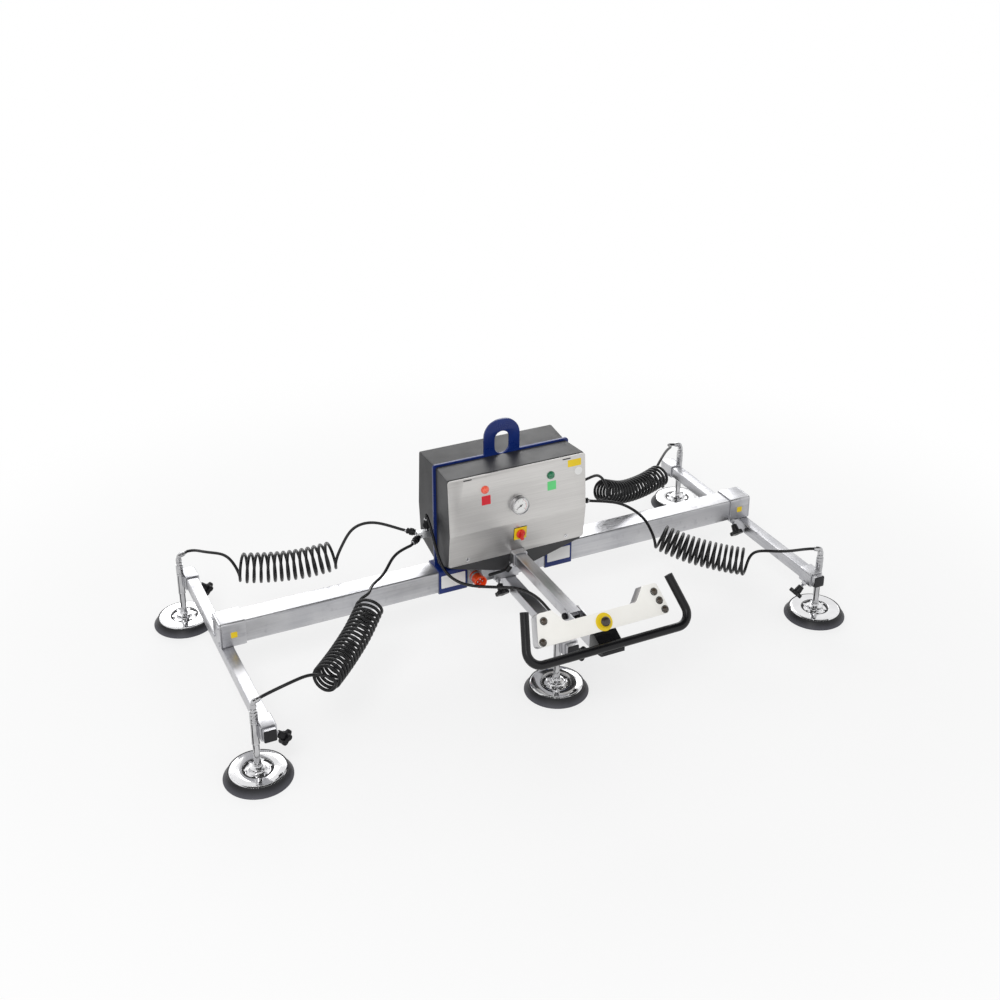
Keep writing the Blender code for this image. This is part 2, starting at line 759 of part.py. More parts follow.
def make_holder():
    """Square sleeve on the crossbeam, with the guide tube on its +X side and the knob's boss below."""
    bore = CROSS_SIDE + 2 * RUNNING_FIT
    sleeve = outline(
        "holder", [square(HOLDER_SIDE, HOLDER_CORNER), square(bore, CROSS_CORNER)],
        -HOLDER_LENGTH / 2, HOLDER_LENGTH / 2, "XZ",
    )
    guide = pin("guide", (PLUNGER_OFFSET, 0, -GUIDE_BELOW), (PLUNGER_OFFSET, 0, GUIDE_ABOVE), GUIDE_RADIUS, 12)
    guide_bore = pin(
        "guide_bore", (PLUNGER_OFFSET, 0, -2 * GUIDE_BELOW), (PLUNGER_OFFSET, 0, 2 * GUIDE_ABOVE),
        GUIDE_BORE_RADIUS, 12,
    )
    boss, hole, tip = knob_seat(
        CROSS_SIDE, CROSS_CORNER, HOLDER_SIDE, HOLDER_CORNER, (-1.0, 0.0, -1.0)
    )
    return cut(join(sleeve, guide, boss), guide_bore, hole), tip


def make_plunger():
    """Plate, hub, rod, stop collar, nut and hose elbow of a spring plunger; the lip's edge is at z = 0."""
    plate_bottom = PLATE_TOP - PLATE_THICKNESS
    recess = PLATE_TOP - PLATE_RECESS_DEPTH
    foot = turned("plunger", [
        (0.0, COLLAR_FOOT_TOP),
        (COLLAR_FOOT_RADIUS, COLLAR_FOOT_TOP),
        (COLLAR_FOOT_RADIUS, HUB_TOP),
        (HUB_RADIUS, HUB_TOP - 0.002),
        (HUB_RADIUS, recess),
        (PLATE_RECESS_RADIUS, recess),
        (PLATE_RECESS_RADIUS, PLATE_TOP),
        (PLATE_RADIUS, PLATE_TOP),
        (PLATE_RADIUS, plate_bottom),
        (PORT_RADIUS, plate_bottom),
        (PORT_RADIUS, PLATE_TOP),
        (0.0, PLATE_TOP),
    ], PAD_SEGMENTS)
    guide_top = CROSS_Z + GUIDE_ABOVE
    nut_low = guide_top + STOP_COLLAR_HEIGHT
    nut_top = nut_low + TOP_NUT_HEIGHT
    rod = turned("rod", [
        (0.0, nut_low + WELD),
        (STOP_COLLAR_RADIUS, nut_low + WELD),
        (STOP_COLLAR_RADIUS, guide_top + FIT),
        (ROD_RADIUS, guide_top + FIT),
        (ROD_RADIUS, HUB_TOP),
        (0.0, HUB_TOP),
    ], 12)
    nut = pin("nut", (0, 0, nut_low), (0, 0, nut_top), TOP_NUT_RADIUS, 6)
    bend_z = nut_top + ELBOW_RISE
    elbow = settle(pipe("elbow", [
        (0.0, 0.0, nut_top - WELD),
        (0.0, 0.0, bend_z - 0.004),
        (0.004, 0.0, bend_z),
        (ELBOW_REACH, 0.0, bend_z),
    ], ELBOW_RADIUS, resolution=2))
    return join(foot, rod, nut, elbow)


def make_lip():
    """Ring of rubber round the plate, flaring to the flat edge that seals on the sheet."""
    plate_bottom = PLATE_TOP - PLATE_THICKNESS
    seat_radius = PLATE_RADIUS + FIT
    return turned("lip", [
        (LIP_NECK_RADIUS, LIP_HEIGHT),
        (LIP_NECK_RADIUS + 0.4 * (LIP_RADIUS - LIP_NECK_RADIUS), 0.42 * LIP_HEIGHT),
        (LIP_RADIUS, 0.0),
        (LIP_RADIUS - LIP_EDGE_WIDTH, 0.0),
        (LIP_NECK_RADIUS, LIP_CEILING),
        (LIP_INNER_RADIUS, LIP_CEILING),
        (LIP_INNER_RADIUS, plate_bottom - FIT),
        (seat_radius, plate_bottom - FIT),
        (seat_radius, LIP_HEIGHT),
    ], PAD_SEGMENTS, closed=True)


holder, holder_knob_seat = make_holder()
plunger = make_plunger()
lip = make_lip()
dress(holder, ZINC)
dress(plunger, CHROME)
dress(lip, RUBBER)

# Each pad: its crossbeam, its side along Y, the half turn of its holder, and where its elbow looks
PADS = {
    "right_front": ("right", -1, 0.0, math.pi - ELBOW_YAW),
    "right_rear": ("right", 1, 0.0, math.pi - ELBOW_YAW),
    "left_front": ("left", -1, math.pi, ELBOW_YAW),
    "left_rear": ("left", 1, math.pi, ELBOW_YAW),
    "centre_front": ("centre", -1, math.pi, math.pi / 2),
}
BEAM_PLACES = {"right": END_CROSS_X, "left": -END_CROSS_X, "centre": CENTRE_CROSS_X}
for name, (beam, side, facing, elbow_yaw) in PADS.items():
    across = side * PAD_Y
    slide = axis_empty(name + "_slide", machine, (BEAM_PLACES[beam], across, CROSS_Z))
    place(copy_of(holder, name + "_holder"), slide, rotation=yaw(facing))
    carried_knob = copy_of(star_knob, name + "_knob")
    outboard = 1 if facing == 0.0 else -1
    tip = Vector((outboard * holder_knob_seat.x, 0.0, holder_knob_seat.z))
    place(carried_knob, slide, tip, along((-outboard, 0.0, -1.0)))
    stem = axis_empty(name + "_stem", slide, (outboard * PLUNGER_OFFSET, 0.0, -CROSS_Z))
    place(copy_of(plunger, name + "_plunger"), stem, rotation=yaw(elbow_yaw))
    place(copy_of(lip, name + "_lip"), stem, rotation=yaw(elbow_yaw))
for pattern in (star_knob, holder, plunger, lip):
    bpy.data.objects.remove(pattern, do_unlink=True)


# Lifting frame

def make_lifting_frame():
    """Plate with the lifting eye, on two saddles round the main beam, with the arm's socket through it."""
    saddle_outer = FRAME_HALF_WIDTH
    saddle_inner = FRAME_HALF_WIDTH + 2 * SADDLE_LIP - SADDLE_LENGTH
    foot = SLEEVE_TOP - WELD
    arch = SLEEVE_TOP + FRAME_ARCH
    eye_radius = LUG_HALF_WIDTH
    corners = [
        (-saddle_outer, foot), (-saddle_inner, foot), (-saddle_inner, arch),
        (saddle_inner, arch), (saddle_inner, foot), (saddle_outer, foot),
        (saddle_outer, FRAME_TOP), (LUG_HALF_WIDTH, FRAME_TOP), (LUG_HALF_WIDTH, LUG_TOP),
        (-LUG_HALF_WIDTH, LUG_TOP), (-LUG_HALF_WIDTH, FRAME_TOP), (-saddle_outer, FRAME_TOP),
    ]
    radii = [0, 0, 0, 0, 0, 0, FRAME_CORNER, 0, eye_radius * 0.999, eye_radius * 0.999, 0, FRAME_CORNER]
    slot = rectangle(
        (-LUG_SLOT_WIDTH / 2, LUG_SLOT_BOTTOM), (LUG_SLOT_WIDTH / 2, LUG_SLOT_TOP), LUG_SLOT_WIDTH / 2 * 0.999, 5
    )
    plate = outline(
        "lifting_frame", [rounded(corners, radii, 6), slot], -FRAME_PLATE / 2, FRAME_PLATE / 2, "XZ"
    )
    saddle_bore = square(BEAM_SIDE + 2 * FIT, BEAM_CORNER)
    saddles = []
    for low in (-saddle_outer - SADDLE_LIP, saddle_outer + SADDLE_LIP - SADDLE_LENGTH):
        saddle = outline(
            "saddle", [square(SLEEVE_SIDE, SLEEVE_CORNER), saddle_bore], low, low + SADDLE_LENGTH, "YZ"
        )
        saddles.append(shift(saddle, z=BEAM_Z))
    socket_half = SOCKET_SIDE / 2
    socket = block(
        "socket",
        (-socket_half, SOCKET_FRONT, ARM_Z - socket_half),
        (socket_half, 0.0, ARM_Z + socket_half),
        HOLDER_CORNER, "Y",
    )
    passage_half = ARM_SIDE / 2 + RUNNING_FIT
    passage = block(
        "passage",
        (-passage_half, 2 * SOCKET_FRONT, ARM_Z - passage_half),
        (passage_half, -SOCKET_FRONT, ARM_Z + passage_half),
        ARM_CORNER, "Y",
    )
    boss, hole, tip = knob_seat(ARM_SIDE, ARM_CORNER, SOCKET_SIDE, HOLDER_CORNER, (-1.0, 0.0, -1.0))
    clamp_place = Vector((0.0, SOCKET_FRONT + CLAMP_INSET, ARM_Z))
    for piece in (boss, hole):
        shift(piece, *clamp_place)
    return cut(join(plate, *saddles, socket, boss), passage, hole), clamp_place + tip


lifting_frame, clamp_seat = make_lifting_frame()
place(dress(lifting_frame, BLUE_PAINT), machine)


# Housing shells

def front_depth(height):
    """How far the housing's face stands from the plate's middle at a height."""
    if height > SHELL_BEND_HEIGHT:
        share = (height - SHELL_BEND_HEIGHT) / (SHELL_TOP_OUTER - SHELL_BEND_HEIGHT)
        return SHELL_DEPTH_BEND + share * (SHELL_DEPTH_TOP - SHELL_DEPTH_BEND)
    share = (SHELL_BEND_HEIGHT - height) / (SHELL_BEND_HEIGHT - SHELL_BOTTOM_OUTER)
    return SHELL_DEPTH_BEND + share * (SHELL_DEPTH_BOTTOM - SHELL_DEPTH_BEND)


def make_shell(name):
    """Open pressing towards the plate: a tapered box bent across its face, with a pointed skirt below."""
    back = -FRAME_PLATE / 2 - FIT
    bm = bmesh.new()
    bmesh.ops.create_cube(bm, size=1.0)
    bm.normal_update()
    rear_faces = [face for face in bm.faces if face.normal.y > 0.5]
    bmesh.ops.delete(bm, geom=rear_faces, context="FACES_ONLY")
    for corner in bm.verts:
        outer = corner.co.y < 0
        upper = corner.co.z > 0
        side = 1 if corner.co.x > 0 else -1
        corner.co.x = side * (SHELL_HALF_WIDTH_OUTER if outer else SHELL_HALF_WIDTH_INNER)
        if upper:
            corner.co.z = SHELL_TOP_OUTER if outer else SHELL_TOP_INNER
        else:
            corner.co.z = SHELL_BOTTOM_OUTER if outer else SHELL_BOTTOM_INNER
        corner.co.y = -front_depth(corner.co.z) if outer else back
    bmesh.ops.bisect_plane(
        bm,
        geom=[*bm.verts, *bm.edges, *bm.faces],
        plane_co=(0, 0, SHELL_BEND_HEIGHT),
        plane_no=(0, 0, 1),
    )
    for corner in bm.verts:
        if abs(corner.co.z - SHELL_BEND_HEIGHT) < FIT and corner.co.y < back - FIT:
            corner.co.y = -SHELL_DEPTH_BEND
    shell = from_bmesh(name, bm)
    bevel = shell.modifiers.new("edges", "BEVEL")
    bevel.width = SHELL_EDGE
    bevel.segments = 2
    bevel.limit_method = "ANGLE"
    bevel.angle_limit = math.radians(40)
    thick = shell.modifiers.new("sheet", "SOLIDIFY")
    thick.thickness = SHELL_WALL
    thick.offset = -1.0
    thick.use_even_offset = True
    shell.modifiers.new("triangles", "TRIANGULATE")
    shell = settle(shell)
    for corner in shell.data.vertices:
        if corner.co.y > back - 2 * SHELL_WALL:
            corner.co.y = back
    skirt_points = [
        (-SKIRT_HALF_WIDTH, SKIRT_TOP), (-SKIRT_HALF_WIDTH, SHELL_BOTTOM_OUTER - SHELL_WALL),
        (-SKIRT_SHOULDER, SKIRT_SHOULDER_HEIGHT), (0.0, SKIRT_TIP_HEIGHT),
        (SKIRT_SHOULDER, SKIRT_SHOULDER_HEIGHT), (SKIRT_HALF_WIDTH, SHELL_BOTTOM_OUTER - SHELL_WALL),
        (SKIRT_HALF_WIDTH, SKIRT_TOP),
    ]
    skirt = outline("skirt", [skirt_points], SKIRT_INSET, SKIRT_INSET + SHELL_WALL - 2 * SKIRT_INSET, "XZ")
    for corner in skirt.data.vertices:
        corner.co.y -= front_depth(corner.co.z)
    return join(shell, skirt)


def arm_notch():
    """The gap that the arm's socket needs in whatever stands before the plate."""
    gap = SOCKET_SIDE / 2 + FIT
    return block(
        "arm_notch", (-gap, -2 * SHELL_DEPTH_BEND, SKIRT_TIP_HEIGHT - SHELL_WALL), (gap, 0.0, ARM_Z + gap)
    )


front_shell = cut(make_shell("front_shell"), arm_notch())
rear_shell = turn(make_shell("rear_shell"), math.pi, "Z")
place(dress(front_shell, BLACK_COAT), machine)
place(dress(rear_shell, BLACK_COAT), machine)


# Front panel

def make_front_panel():
    """Stainless sheet over the front shell, bent with it, with two hinge slots and two lock screws."""
    face = rectangle((-PANEL_HALF_WIDTH, PANEL_BOTTOM), (PANEL_HALF_WIDTH, PANEL_TOP), PANEL_CORNER)
    sheet = outline("front_panel", [face], -PANEL_SHEET - FIT, -FIT, "XZ")
    bm = bmesh.new()
    bm.from_mesh(sheet.data)
    bmesh.ops.bisect_plane(
        bm,
        geom=[*bm.verts, *bm.edges, *bm.faces],
        plane_co=(0, 0, SHELL_BEND_HEIGHT),
        plane_no=(0, 0, 1),
    )
    for corner in bm.verts:
        corner.co.y -= front_depth(corner.co.z)
    bmesh.ops.triangulate(bm, faces=bm.faces)
    bm.to_mesh(sheet.data)
    bm.free()
    slots = []
    locks = []
    slot_top = PANEL_TOP - HINGE_SLOT_DROP
    slot_reach = 2 * (SHELL_DEPTH_TOP + PANEL_SHEET)
    for side in (-1, 1):
        slot_x = side * HINGE_SLOT_X
        slots.append(block(
            "slot", (slot_x - HINGE_SLOT_WIDTH / 2, -slot_reach, slot_top - HINGE_SLOT_HEIGHT),
            (slot_x + HINGE_SLOT_WIDTH / 2, 0.0, slot_top),
        ))
        face_y = -front_depth(LOCK_Z) - FIT - PANEL_SHEET
        locks.append(pin(
            "lock", (side * LOCK_X, face_y + WELD, LOCK_Z), (side * LOCK_X, face_y - LOCK_HEIGHT, LOCK_Z),
            LOCK_RADIUS, 12,
        ))
    return join(cut(sheet, *slots, arm_notch()), *locks)


place(dress(make_front_panel(), STAINLESS), machine)


def on_panel(x, z):
    """The place on the panel's face at a point, a seat's gap off it, and the way that it looks."""
    slope = math.atan2(front_depth(z + FIT) - front_depth(z - FIT), 2 * FIT)
    outward = Vector((0.0, -math.cos(slope), -math.sin(slope)))
    seat = Vector((x, -front_depth(z) - FIT - PANEL_SHEET, z))
    return seat + outward * FIT, outward


def seat_on_panel(obj, x, z):
    """Stand a solid on the panel, its Z away from the panel and its Y up."""
    where, outward = on_panel(x, z)
    return place(obj, machine, where, along(outward))


# Lamps, gauge and main switch

def make_lamp(name):
    """Lens dome in a narrow ring."""
    return turned(name, [
        (0.0, LAMP_RISE),
        (0.45 * LAMP_RADIUS, 0.93 * LAMP_RISE),
        (0.75 * LAMP_RADIUS, 0.72 * LAMP_RISE),
        (0.86 * LAMP_RADIUS, 0.35 * LAMP_RISE),
        (LAMP_RADIUS, 0.3 * LAMP_RISE),
        (LAMP_RADIUS, 0.0),
        (0.0, 0.0),
    ], 12)


seat_on_panel(dress(make_lamp("red_lamp"), RED_LENS), -LAMP_X, LAMP_Z)
seat_on_panel(dress(make_lamp("green_lamp"), GREEN_LENS), LAMP_X, LAMP_Z)

dial_radius = GAUGE_RADIUS - GAUGE_BEZEL
dial_floor = GAUGE_DEPTH - GAUGE_RECESS
gauge = turned("vacuum_gauge", [
    (0.0, dial_floor),
    (dial_radius, dial_floor),
    (dial_radius, GAUGE_DEPTH),
    (GAUGE_RADIUS - 0.001, GAUGE_DEPTH),
    (GAUGE_RADIUS, GAUGE_DEPTH - 0.001),
    (GAUGE_RADIUS, 0.0),
    (0.0, 0.0),
], 16)
gauge = seat_on_panel(dress(gauge, CHROME), 0.0, GAUGE_Z)

needle_points = [
    (-0.0012, -NEEDLE_TAIL), (0.0012, -NEEDLE_TAIL), (0.0008, NEEDLE_LENGTH), (-0.0008, NEEDLE_LENGTH),
]
needle = outline("gauge_needle", [needle_points], 0.0, NEEDLE_THICKNESS)
needle_hub = pin("needle_hub", (0, 0, -NEEDLE_THICKNESS), (0, 0, 2 * NEEDLE_THICKNESS), NEEDLE_HUB_RADIUS, 12)
needle = dress(join(needle, needle_hub), BLACK_PLASTIC)
place(needle, gauge, (0.0, 0.0, dial_floor + FIT + NEEDLE_THICKNESS), yaw(NEEDLE_REST))

plate_half = SWITCH_PLATE_SIDE / 2
switch_plate = block(
    "switch_plate", (-plate_half, -plate_half, 0.0), (plate_half, plate_half, SWITCH_PLATE_THICKNESS), 0.003, "Z"
)
switch_plate = seat_on_panel(dress(switch_plate, YELLOW_PLASTIC), SWITCH_X, SWITCH_Z)
switch_knob = pin("switch_knob", (0, 0, 0), (0, 0, SWITCH_KNOB_BASE), SWITCH_KNOB_RADIUS, 14)
grip = block(
    "grip",
    (-SWITCH_GRIP_WIDTH / 2, -SWITCH_KNOB_RADIUS * 0.95, SWITCH_KNOB_BASE - WELD),
    (SWITCH_GRIP_WIDTH / 2, SWITCH_KNOB_RADIUS * 0.95, SWITCH_KNOB_BASE + SWITCH_GRIP_HEIGHT),
    0.002,
)
switch_knob = dress(join(switch_knob, grip), RED_PLASTIC)
place(switch_knob, switch_plate, (0.0, 0.0, SWITCH_PLATE_THICKNESS + FIT))


# Operator arm and its clamping lever

arm_slide = axis_empty("arm_slide", machine, (0.0, 0.0, ARM_Z))
arm_bore = square(ARM_SIDE - 2 * ARM_WALL, ARM_CORNER - ARM_WALL / 2)
operator_arm = outline("operator_arm", [square(ARM_SIDE, ARM_CORNER), arm_bore], ARM_FRONT, ARM_REAR, "XZ")
bolt_hole_radius = BOLT_RADIUS + FIT
operator_arm = cut(operator_arm, pin(
    "bolt_hole", (-ARM_SIDE, PIVOT_Y, 0.0), (ARM_SIDE, PIVOT_Y, 0.0), bolt_hole_radius, 12
))
place(dress(operator_arm, ZINC), arm_slide)

screw_reach = (SOCKET_SIDE - ARM_SIDE) / math.sqrt(2) + KNOB_BOSS_HEIGHT
lever = turned("arm_clamp_lever", [
    (0.0, screw_reach + CLAMP_HUB_LENGTH),
    (0.8 * CLAMP_HUB_RADIUS, screw_reach + CLAMP_HUB_LENGTH),
    (CLAMP_HUB_RADIUS, screw_reach + 0.9 * CLAMP_HUB_LENGTH),
    (CLAMP_HUB_RADIUS, screw_reach),
    (KNOB_SCREW_RADIUS, screw_reach),
    (KNOB_SCREW_RADIUS, 0.0),
    (0.0, 0.0),
], 10)
lever_height = screw_reach + 0.6 * CLAMP_HUB_LENGTH
lever_end = Vector((math.cos(CLAMP_LEVER_TILT), 0.0, math.sin(CLAMP_LEVER_TILT))) * CLAMP_LEVER_LENGTH
lever_grip = pin(
    "lever_grip", (0.0, 0.0, lever_height), (lever_end.x, 0.0, lever_height + lever_end.z),
    0.75 * CLAMP_LEVER_RADIUS, 8, CLAMP_LEVER_RADIUS,
)
lever = dress(join(lever, lever_grip), BLACK_PLASTIC)
clamp_axis = Vector((-1.0, 0.0, -1.0)).normalized()
lever_aim = Vector((-1.0, -0.35, 1.0))
lever_aim = (lever_aim - clamp_axis * lever_aim.dot(clamp_axis)).normalized()
lever_frame = Matrix((lever_aim, clamp_axis.cross(lever_aim), clamp_axis)).transposed()
place(lever, machine, clamp_seat, lever_frame.to_quaternion())


# Handle: everything that tilts about the fork's bolt

pivot = Vector((0.0, PIVOT_Y, 0.0))
handle = axis_empty("handle_tilt", arm_slide, pivot)
fork_inner = ARM_SIDE / 2 + RUNNING_FIT
fork_outer = fork_inner + FORK_PLATE
bolt_left = -fork_outer - FIT
bolt_right = fork_outer + FIT
handle_bolt = turned("handle_bolt", [
    (0.0, bolt_right + BOLT_NUT_HEIGHT),
    (BOLT_NUT_RADIUS, bolt_right + BOLT_NUT_HEIGHT),
    (BOLT_NUT_RADIUS, bolt_right),
    (BOLT_RADIUS, bolt_right),
    (BOLT_RADIUS, bolt_left),
    (BOLT_HEAD_RADIUS, bolt_left),
    (BOLT_HEAD_RADIUS, bolt_left - 0.7 * BOLT_HEAD_HEIGHT),
    (0.7 * BOLT_HEAD_RADIUS, bolt_left - BOLT_HEAD_HEIGHT),
    (0.0, bolt_left - BOLT_HEAD_HEIGHT),
], 12)
turn(handle_bolt, math.pi / 2, "Y")
place(dress(handle_bolt, BLACK_PLASTIC), arm_slide, pivot)


def make_fork():
    """Two plates beside the arm's end, joined by a web in front of it."""
    half = ARM_SIDE / 2
    reach = FORK_FRONT - PIVOT_Y
    start = half + FORK_MARGIN
    side = rounded(
        [(start, -half), (start, half), (reach, half), (reach, -half)], [half * 0.99, half * 0.99, 0, 0], 5
    )
    hole = circle(bolt_hole_radius, 12)
    plates = []
    for inner, outer in ((-fork_outer, -fork_inner), (fork_inner, fork_outer)):
        plates.append(outline("fork_plate", [side, hole], inner, outer, "YZ"))
    web_back = ARM_FRONT - PIVOT_Y - half + FORK_MARGIN
    web = block("web", (-fork_inner - WELD, reach, -half), (fork_inner + WELD, web_back, -half + FORK_PLATE))
    plates[0].name = "handle_fork"
    return join(plates[0], plates[1], web)


place(dress(make_fork(), ZINC), handle)

# The control box's own frame: X across, Y up its face, Z out of its face towards the operator
box_turn = Matrix.Rotation(math.pi / 2 - BOX_TILT, 3, "X").to_quaternion()
box_foot = Vector((0.0, BOX_FOOT_Y - PIVOT_Y, BOX_FOOT_Z - ARM_Z))
box_frame = Matrix.Translation(box_foot) @ box_turn.to_matrix().to_4x4()

button_middle = tuple((a + b) / 2 for a, b in zip(BUTTON_OUTER, BUTTON_INNER))
BUTTONS = {
    "left_upper_button": (-BUTTON_INNER[0], BUTTON_INNER[1]),
    "left_lower_button": (-BUTTON_OUTER[0], BUTTON_OUTER[1]),
    "right_upper_button": BUTTON_INNER,
    "right_middle_button": button_middle,
    "right_lower_button": BUTTON_OUTER,
}


def make_control_box():
    """Flat box with a raised ear at each end, and a blind hole for each button's stem."""
    half = [
        (BOX_HALF_WIDTH_BOTTOM, 0.0), (BOX_HALF_WIDTH_TOP, BOX_EAR_HEIGHT),
        (BOX_EAR_INNER, BOX_EAR_HEIGHT), (BOX_NOTCH_HALF_WIDTH, BOX_BAND_HEIGHT),
    ]
    corners = half + [(-x, y) for x, y in reversed(half)]
    half_radii = [BOX_CORNER, BOX_CORNER, BOX_CORNER / 2, BOX_CORNER]
    body = outline("control_box", [rounded(corners, half_radii + half_radii[::-1])], -BOX_DEPTH, 0.0)
    depth = BUTTON_STEM_LENGTH + BUTTON_TRAVEL + RUNNING_FIT
    wells = []
    for x, y in BUTTONS.values():
        wells.append(pin("well", (x, y, -depth), (x, y, BOX_DEPTH), BUTTON_STEM_RADIUS + RUNNING_FIT, 12))
    stop_depth = BUTTON_STEM_LENGTH + STOP_BUTTON_TRAVEL + RUNNING_FIT
    wells.append(pin(
        "well", (0, STOP_BUTTON_V, -stop_depth), (0, STOP_BUTTON_V, BOX_DEPTH),
        STOP_BUTTON_STEM_RADIUS + RUNNING_FIT, 14,
    ))
    return cut(body, *wells)


place(dress(make_control_box(), CREAM_COAT), handle, box_foot, box_turn)

button = turned("button", [
    (0.0, BUTTON_CAP_TOP),
    (0.6 * BUTTON_RADIUS, BUTTON_CAP_TOP - 0.0006),
    (BUTTON_RADIUS, BUTTON_CAP_TOP - 0.003),
    (BUTTON_RADIUS, BUTTON_CAP_BASE),
    (BUTTON_STEM_RADIUS, BUTTON_CAP_BASE),
    (BUTTON_STEM_RADIUS, -BUTTON_STEM_LENGTH),
    (0.0, -BUTTON_STEM_LENGTH),
], 10)
dress(button, BLACK_PLASTIC)
for name, (x, y) in BUTTONS.items():
    place(copy_of(button, name), handle, box_frame @ Vector((x, y, 0.0)), box_turn)
bpy.data.objects.remove(button, do_unlink=True)

stop_button = turned("stop_button", [
    (0.0, STOP_BUTTON_RISE),
    (0.6 * STOP_BUTTON_RADIUS, STOP_BUTTON_RISE - 0.001),
    (STOP_BUTTON_RADIUS, STOP_BUTTON_RISE - 0.006),
    (STOP_BUTTON_RADIUS, STOP_BUTTON_NECK + 0.003),
    (STOP_BUTTON_STEM_RADIUS, STOP_BUTTON_NECK),
    (STOP_BUTTON_STEM_RADIUS, -BUTTON_STEM_LENGTH),
    (0.0, -BUTTON_STEM_LENGTH),
], 14)
place(dress(stop_button, BLACK_PLASTIC), handle, box_frame @ Vector((0.0, STOP_BUTTON_V, 0.0)), box_turn)


def bar_points():
    """The bar's centre line in the box's frame: up each side and round two bends."""
    corners = [
        (-BAR_HALF_WIDTH_TOP, BAR_RISE), (-BAR_HALF_WIDTH_BOTTOM, -BAR_DROP),
        (BAR_HALF_WIDTH_BOTTOM, -BAR_DROP), (BAR_HALF_WIDTH_TOP, BAR_RISE),
    ]
    line = rounded(corners, [0, BAR_BEND, BAR_BEND, 0], 5)
    return [box_frame @ Vector((x, y, BAR_LEAD)) for x, y in line]


place(dress(pipe("handle_bar", bar_points(), BAR_RADIUS), BLACK_COAT), handle)


def make_bracket():
    """Block between the fork, the box's underside and the bar, hollowed to carry the bar."""
    foot = box_frame @ Vector((0.0, -FIT, 0.0))
    heel = box_frame @ Vector((0.0, -FIT, -BOX_DEPTH))
    bar = box_frame @ Vector((0.0, -BAR_DROP, BAR_LEAD))
    back = FORK_FRONT - PIVOT_Y - FIT
    slope = (foot.z - heel.z) / (foot.y - heel.y)

    def under_box(y):
        return heel.z + slope * (y - heel.y)

    nose = bar.y - 0.6 * BAR_RADIUS
    shoulder = heel.y + 0.7 * (foot.y - heel.y)
    side = [
        (back, -0.2 * ARM_SIDE), (bar.y, bar.z - 2.2 * BAR_RADIUS), (nose, bar.z - 1.8 * BAR_RADIUS),
        (nose, bar.z - 0.9 * BAR_RADIUS), (bar.y, bar.z), (bar.y + 1.9 * BAR_RADIUS, bar.z + 0.8 * BAR_RADIUS),
        (shoulder, under_box(shoulder)), (back, under_box(back)),
    ]
    body = outline("handle_bracket", [side], -BRACKET_HALF_WIDTH, BRACKET_HALF_WIDTH, "YZ")
    cradle = pin(
        "cradle",
        (-2 * BRACKET_HALF_WIDTH, bar.y, bar.z),
        (2 * BRACKET_HALF_WIDTH, bar.y, bar.z),
        BAR_RADIUS + FIT, 24,
    )
    return cut(body, cradle)


place(dress(make_bracket(), BLACK_COAT), handle)


# Manifolds: a block on the rear shell's side with quick couplings for the hoses

def make_coupling(start, direction, length):
    """Quick coupling with its release ring, and the place where the hose begins."""
    start = Vector(start)
    run = Vector(direction).normalized()
    body = pin("coupling", start - run * COUPLING_RADIUS, start + run * length, COUPLING_RADIUS, 10)
    ring_low = start + run * length * 0.40
    ring_high = start + run * length * 0.72
    ring = pin("ring", ring_low, ring_high, COUPLING_RING_RADIUS, 10)
    return [body, ring], start + run * length


def make_manifold(name, side):
    """Aluminium block and its couplings, and where each hose begins; side is -1 on the left."""
    inner = side * (SHELL_HALF_WIDTH_INNER + MANIFOLD_STANDOFF)
    outer = inner + side * MANIFOLD_LENGTH
    low_y = FRAME_PLATE / 2 + FIT
    half = MANIFOLD_SIDE / 2
    body = block(
        name,
        (min(inner, outer), low_y, MANIFOLD_Z - half),
        (max(inner, outer), low_y + MANIFOLD_SIDE, MANIFOLD_Z + half),
        0.0015, "X",
    )
    middle = Vector((outer, low_y + half, MANIFOLD_Z))
    ends = {}
    pieces = []
    for pad, (coupling_side, offset, direction) in COUPLINGS.items():
        if coupling_side == side:
            made, ends[pad] = make_coupling(middle + Vector(offset), direction, COUPLING_LENGTH)
            pieces += made
    return join(body, *pieces), ends


# Each hose's coupling: its manifold, its foot counted from the middle of the block's outer end, and its way
COUPLINGS = {
    "left_rear": (-1, (0.011, 0.004, 0.002), (-0.75, 0.62, 0.10)),
    "left_front": (-1, (0.011, -0.004, -0.002), (-0.80, -0.58, -0.12)),
    "centre_front": (-1, (0.035, 0.0, 0.006), (0.0, 0.0, 1.0)),
    "right_rear": (1, (-0.019, 0.0, 0.006), (0.55, 0.10, 0.83)),
    "right_front": (1, (-0.011, -0.004, -0.002), (0.86, -0.50, -0.05)),
}
left_manifold, left_ports = make_manifold("left_manifold", -1)
right_manifold, right_ports = make_manifold("right_manifold", 1)
ports = {**left_ports, **right_ports}
place(dress(left_manifold, ALUMINIUM), machine)
place(dress(right_manifold, ALUMINIUM), machine)


# Vacuum hoses: a thin lead, the coil's outer shape, and a thin lead to the pad's elbow

def elbow_end(beam, side, facing, angle):
    """Where a pad's elbow ends, and the way that it looks."""
    outboard = 1 if facing == 0.0 else -1
    guide_top = CROSS_Z + GUIDE_ABOVE
    height = guide_top + STOP_COLLAR_HEIGHT + TOP_NUT_HEIGHT + ELBOW_RISE
    centre = Vector((BEAM_PLACES[beam] + outboard * PLUNGER_OFFSET, side * PAD_Y, height))
    out = Vector((math.cos(angle), math.sin(angle), 0.0))
    return centre + out * ELBOW_REACH, out


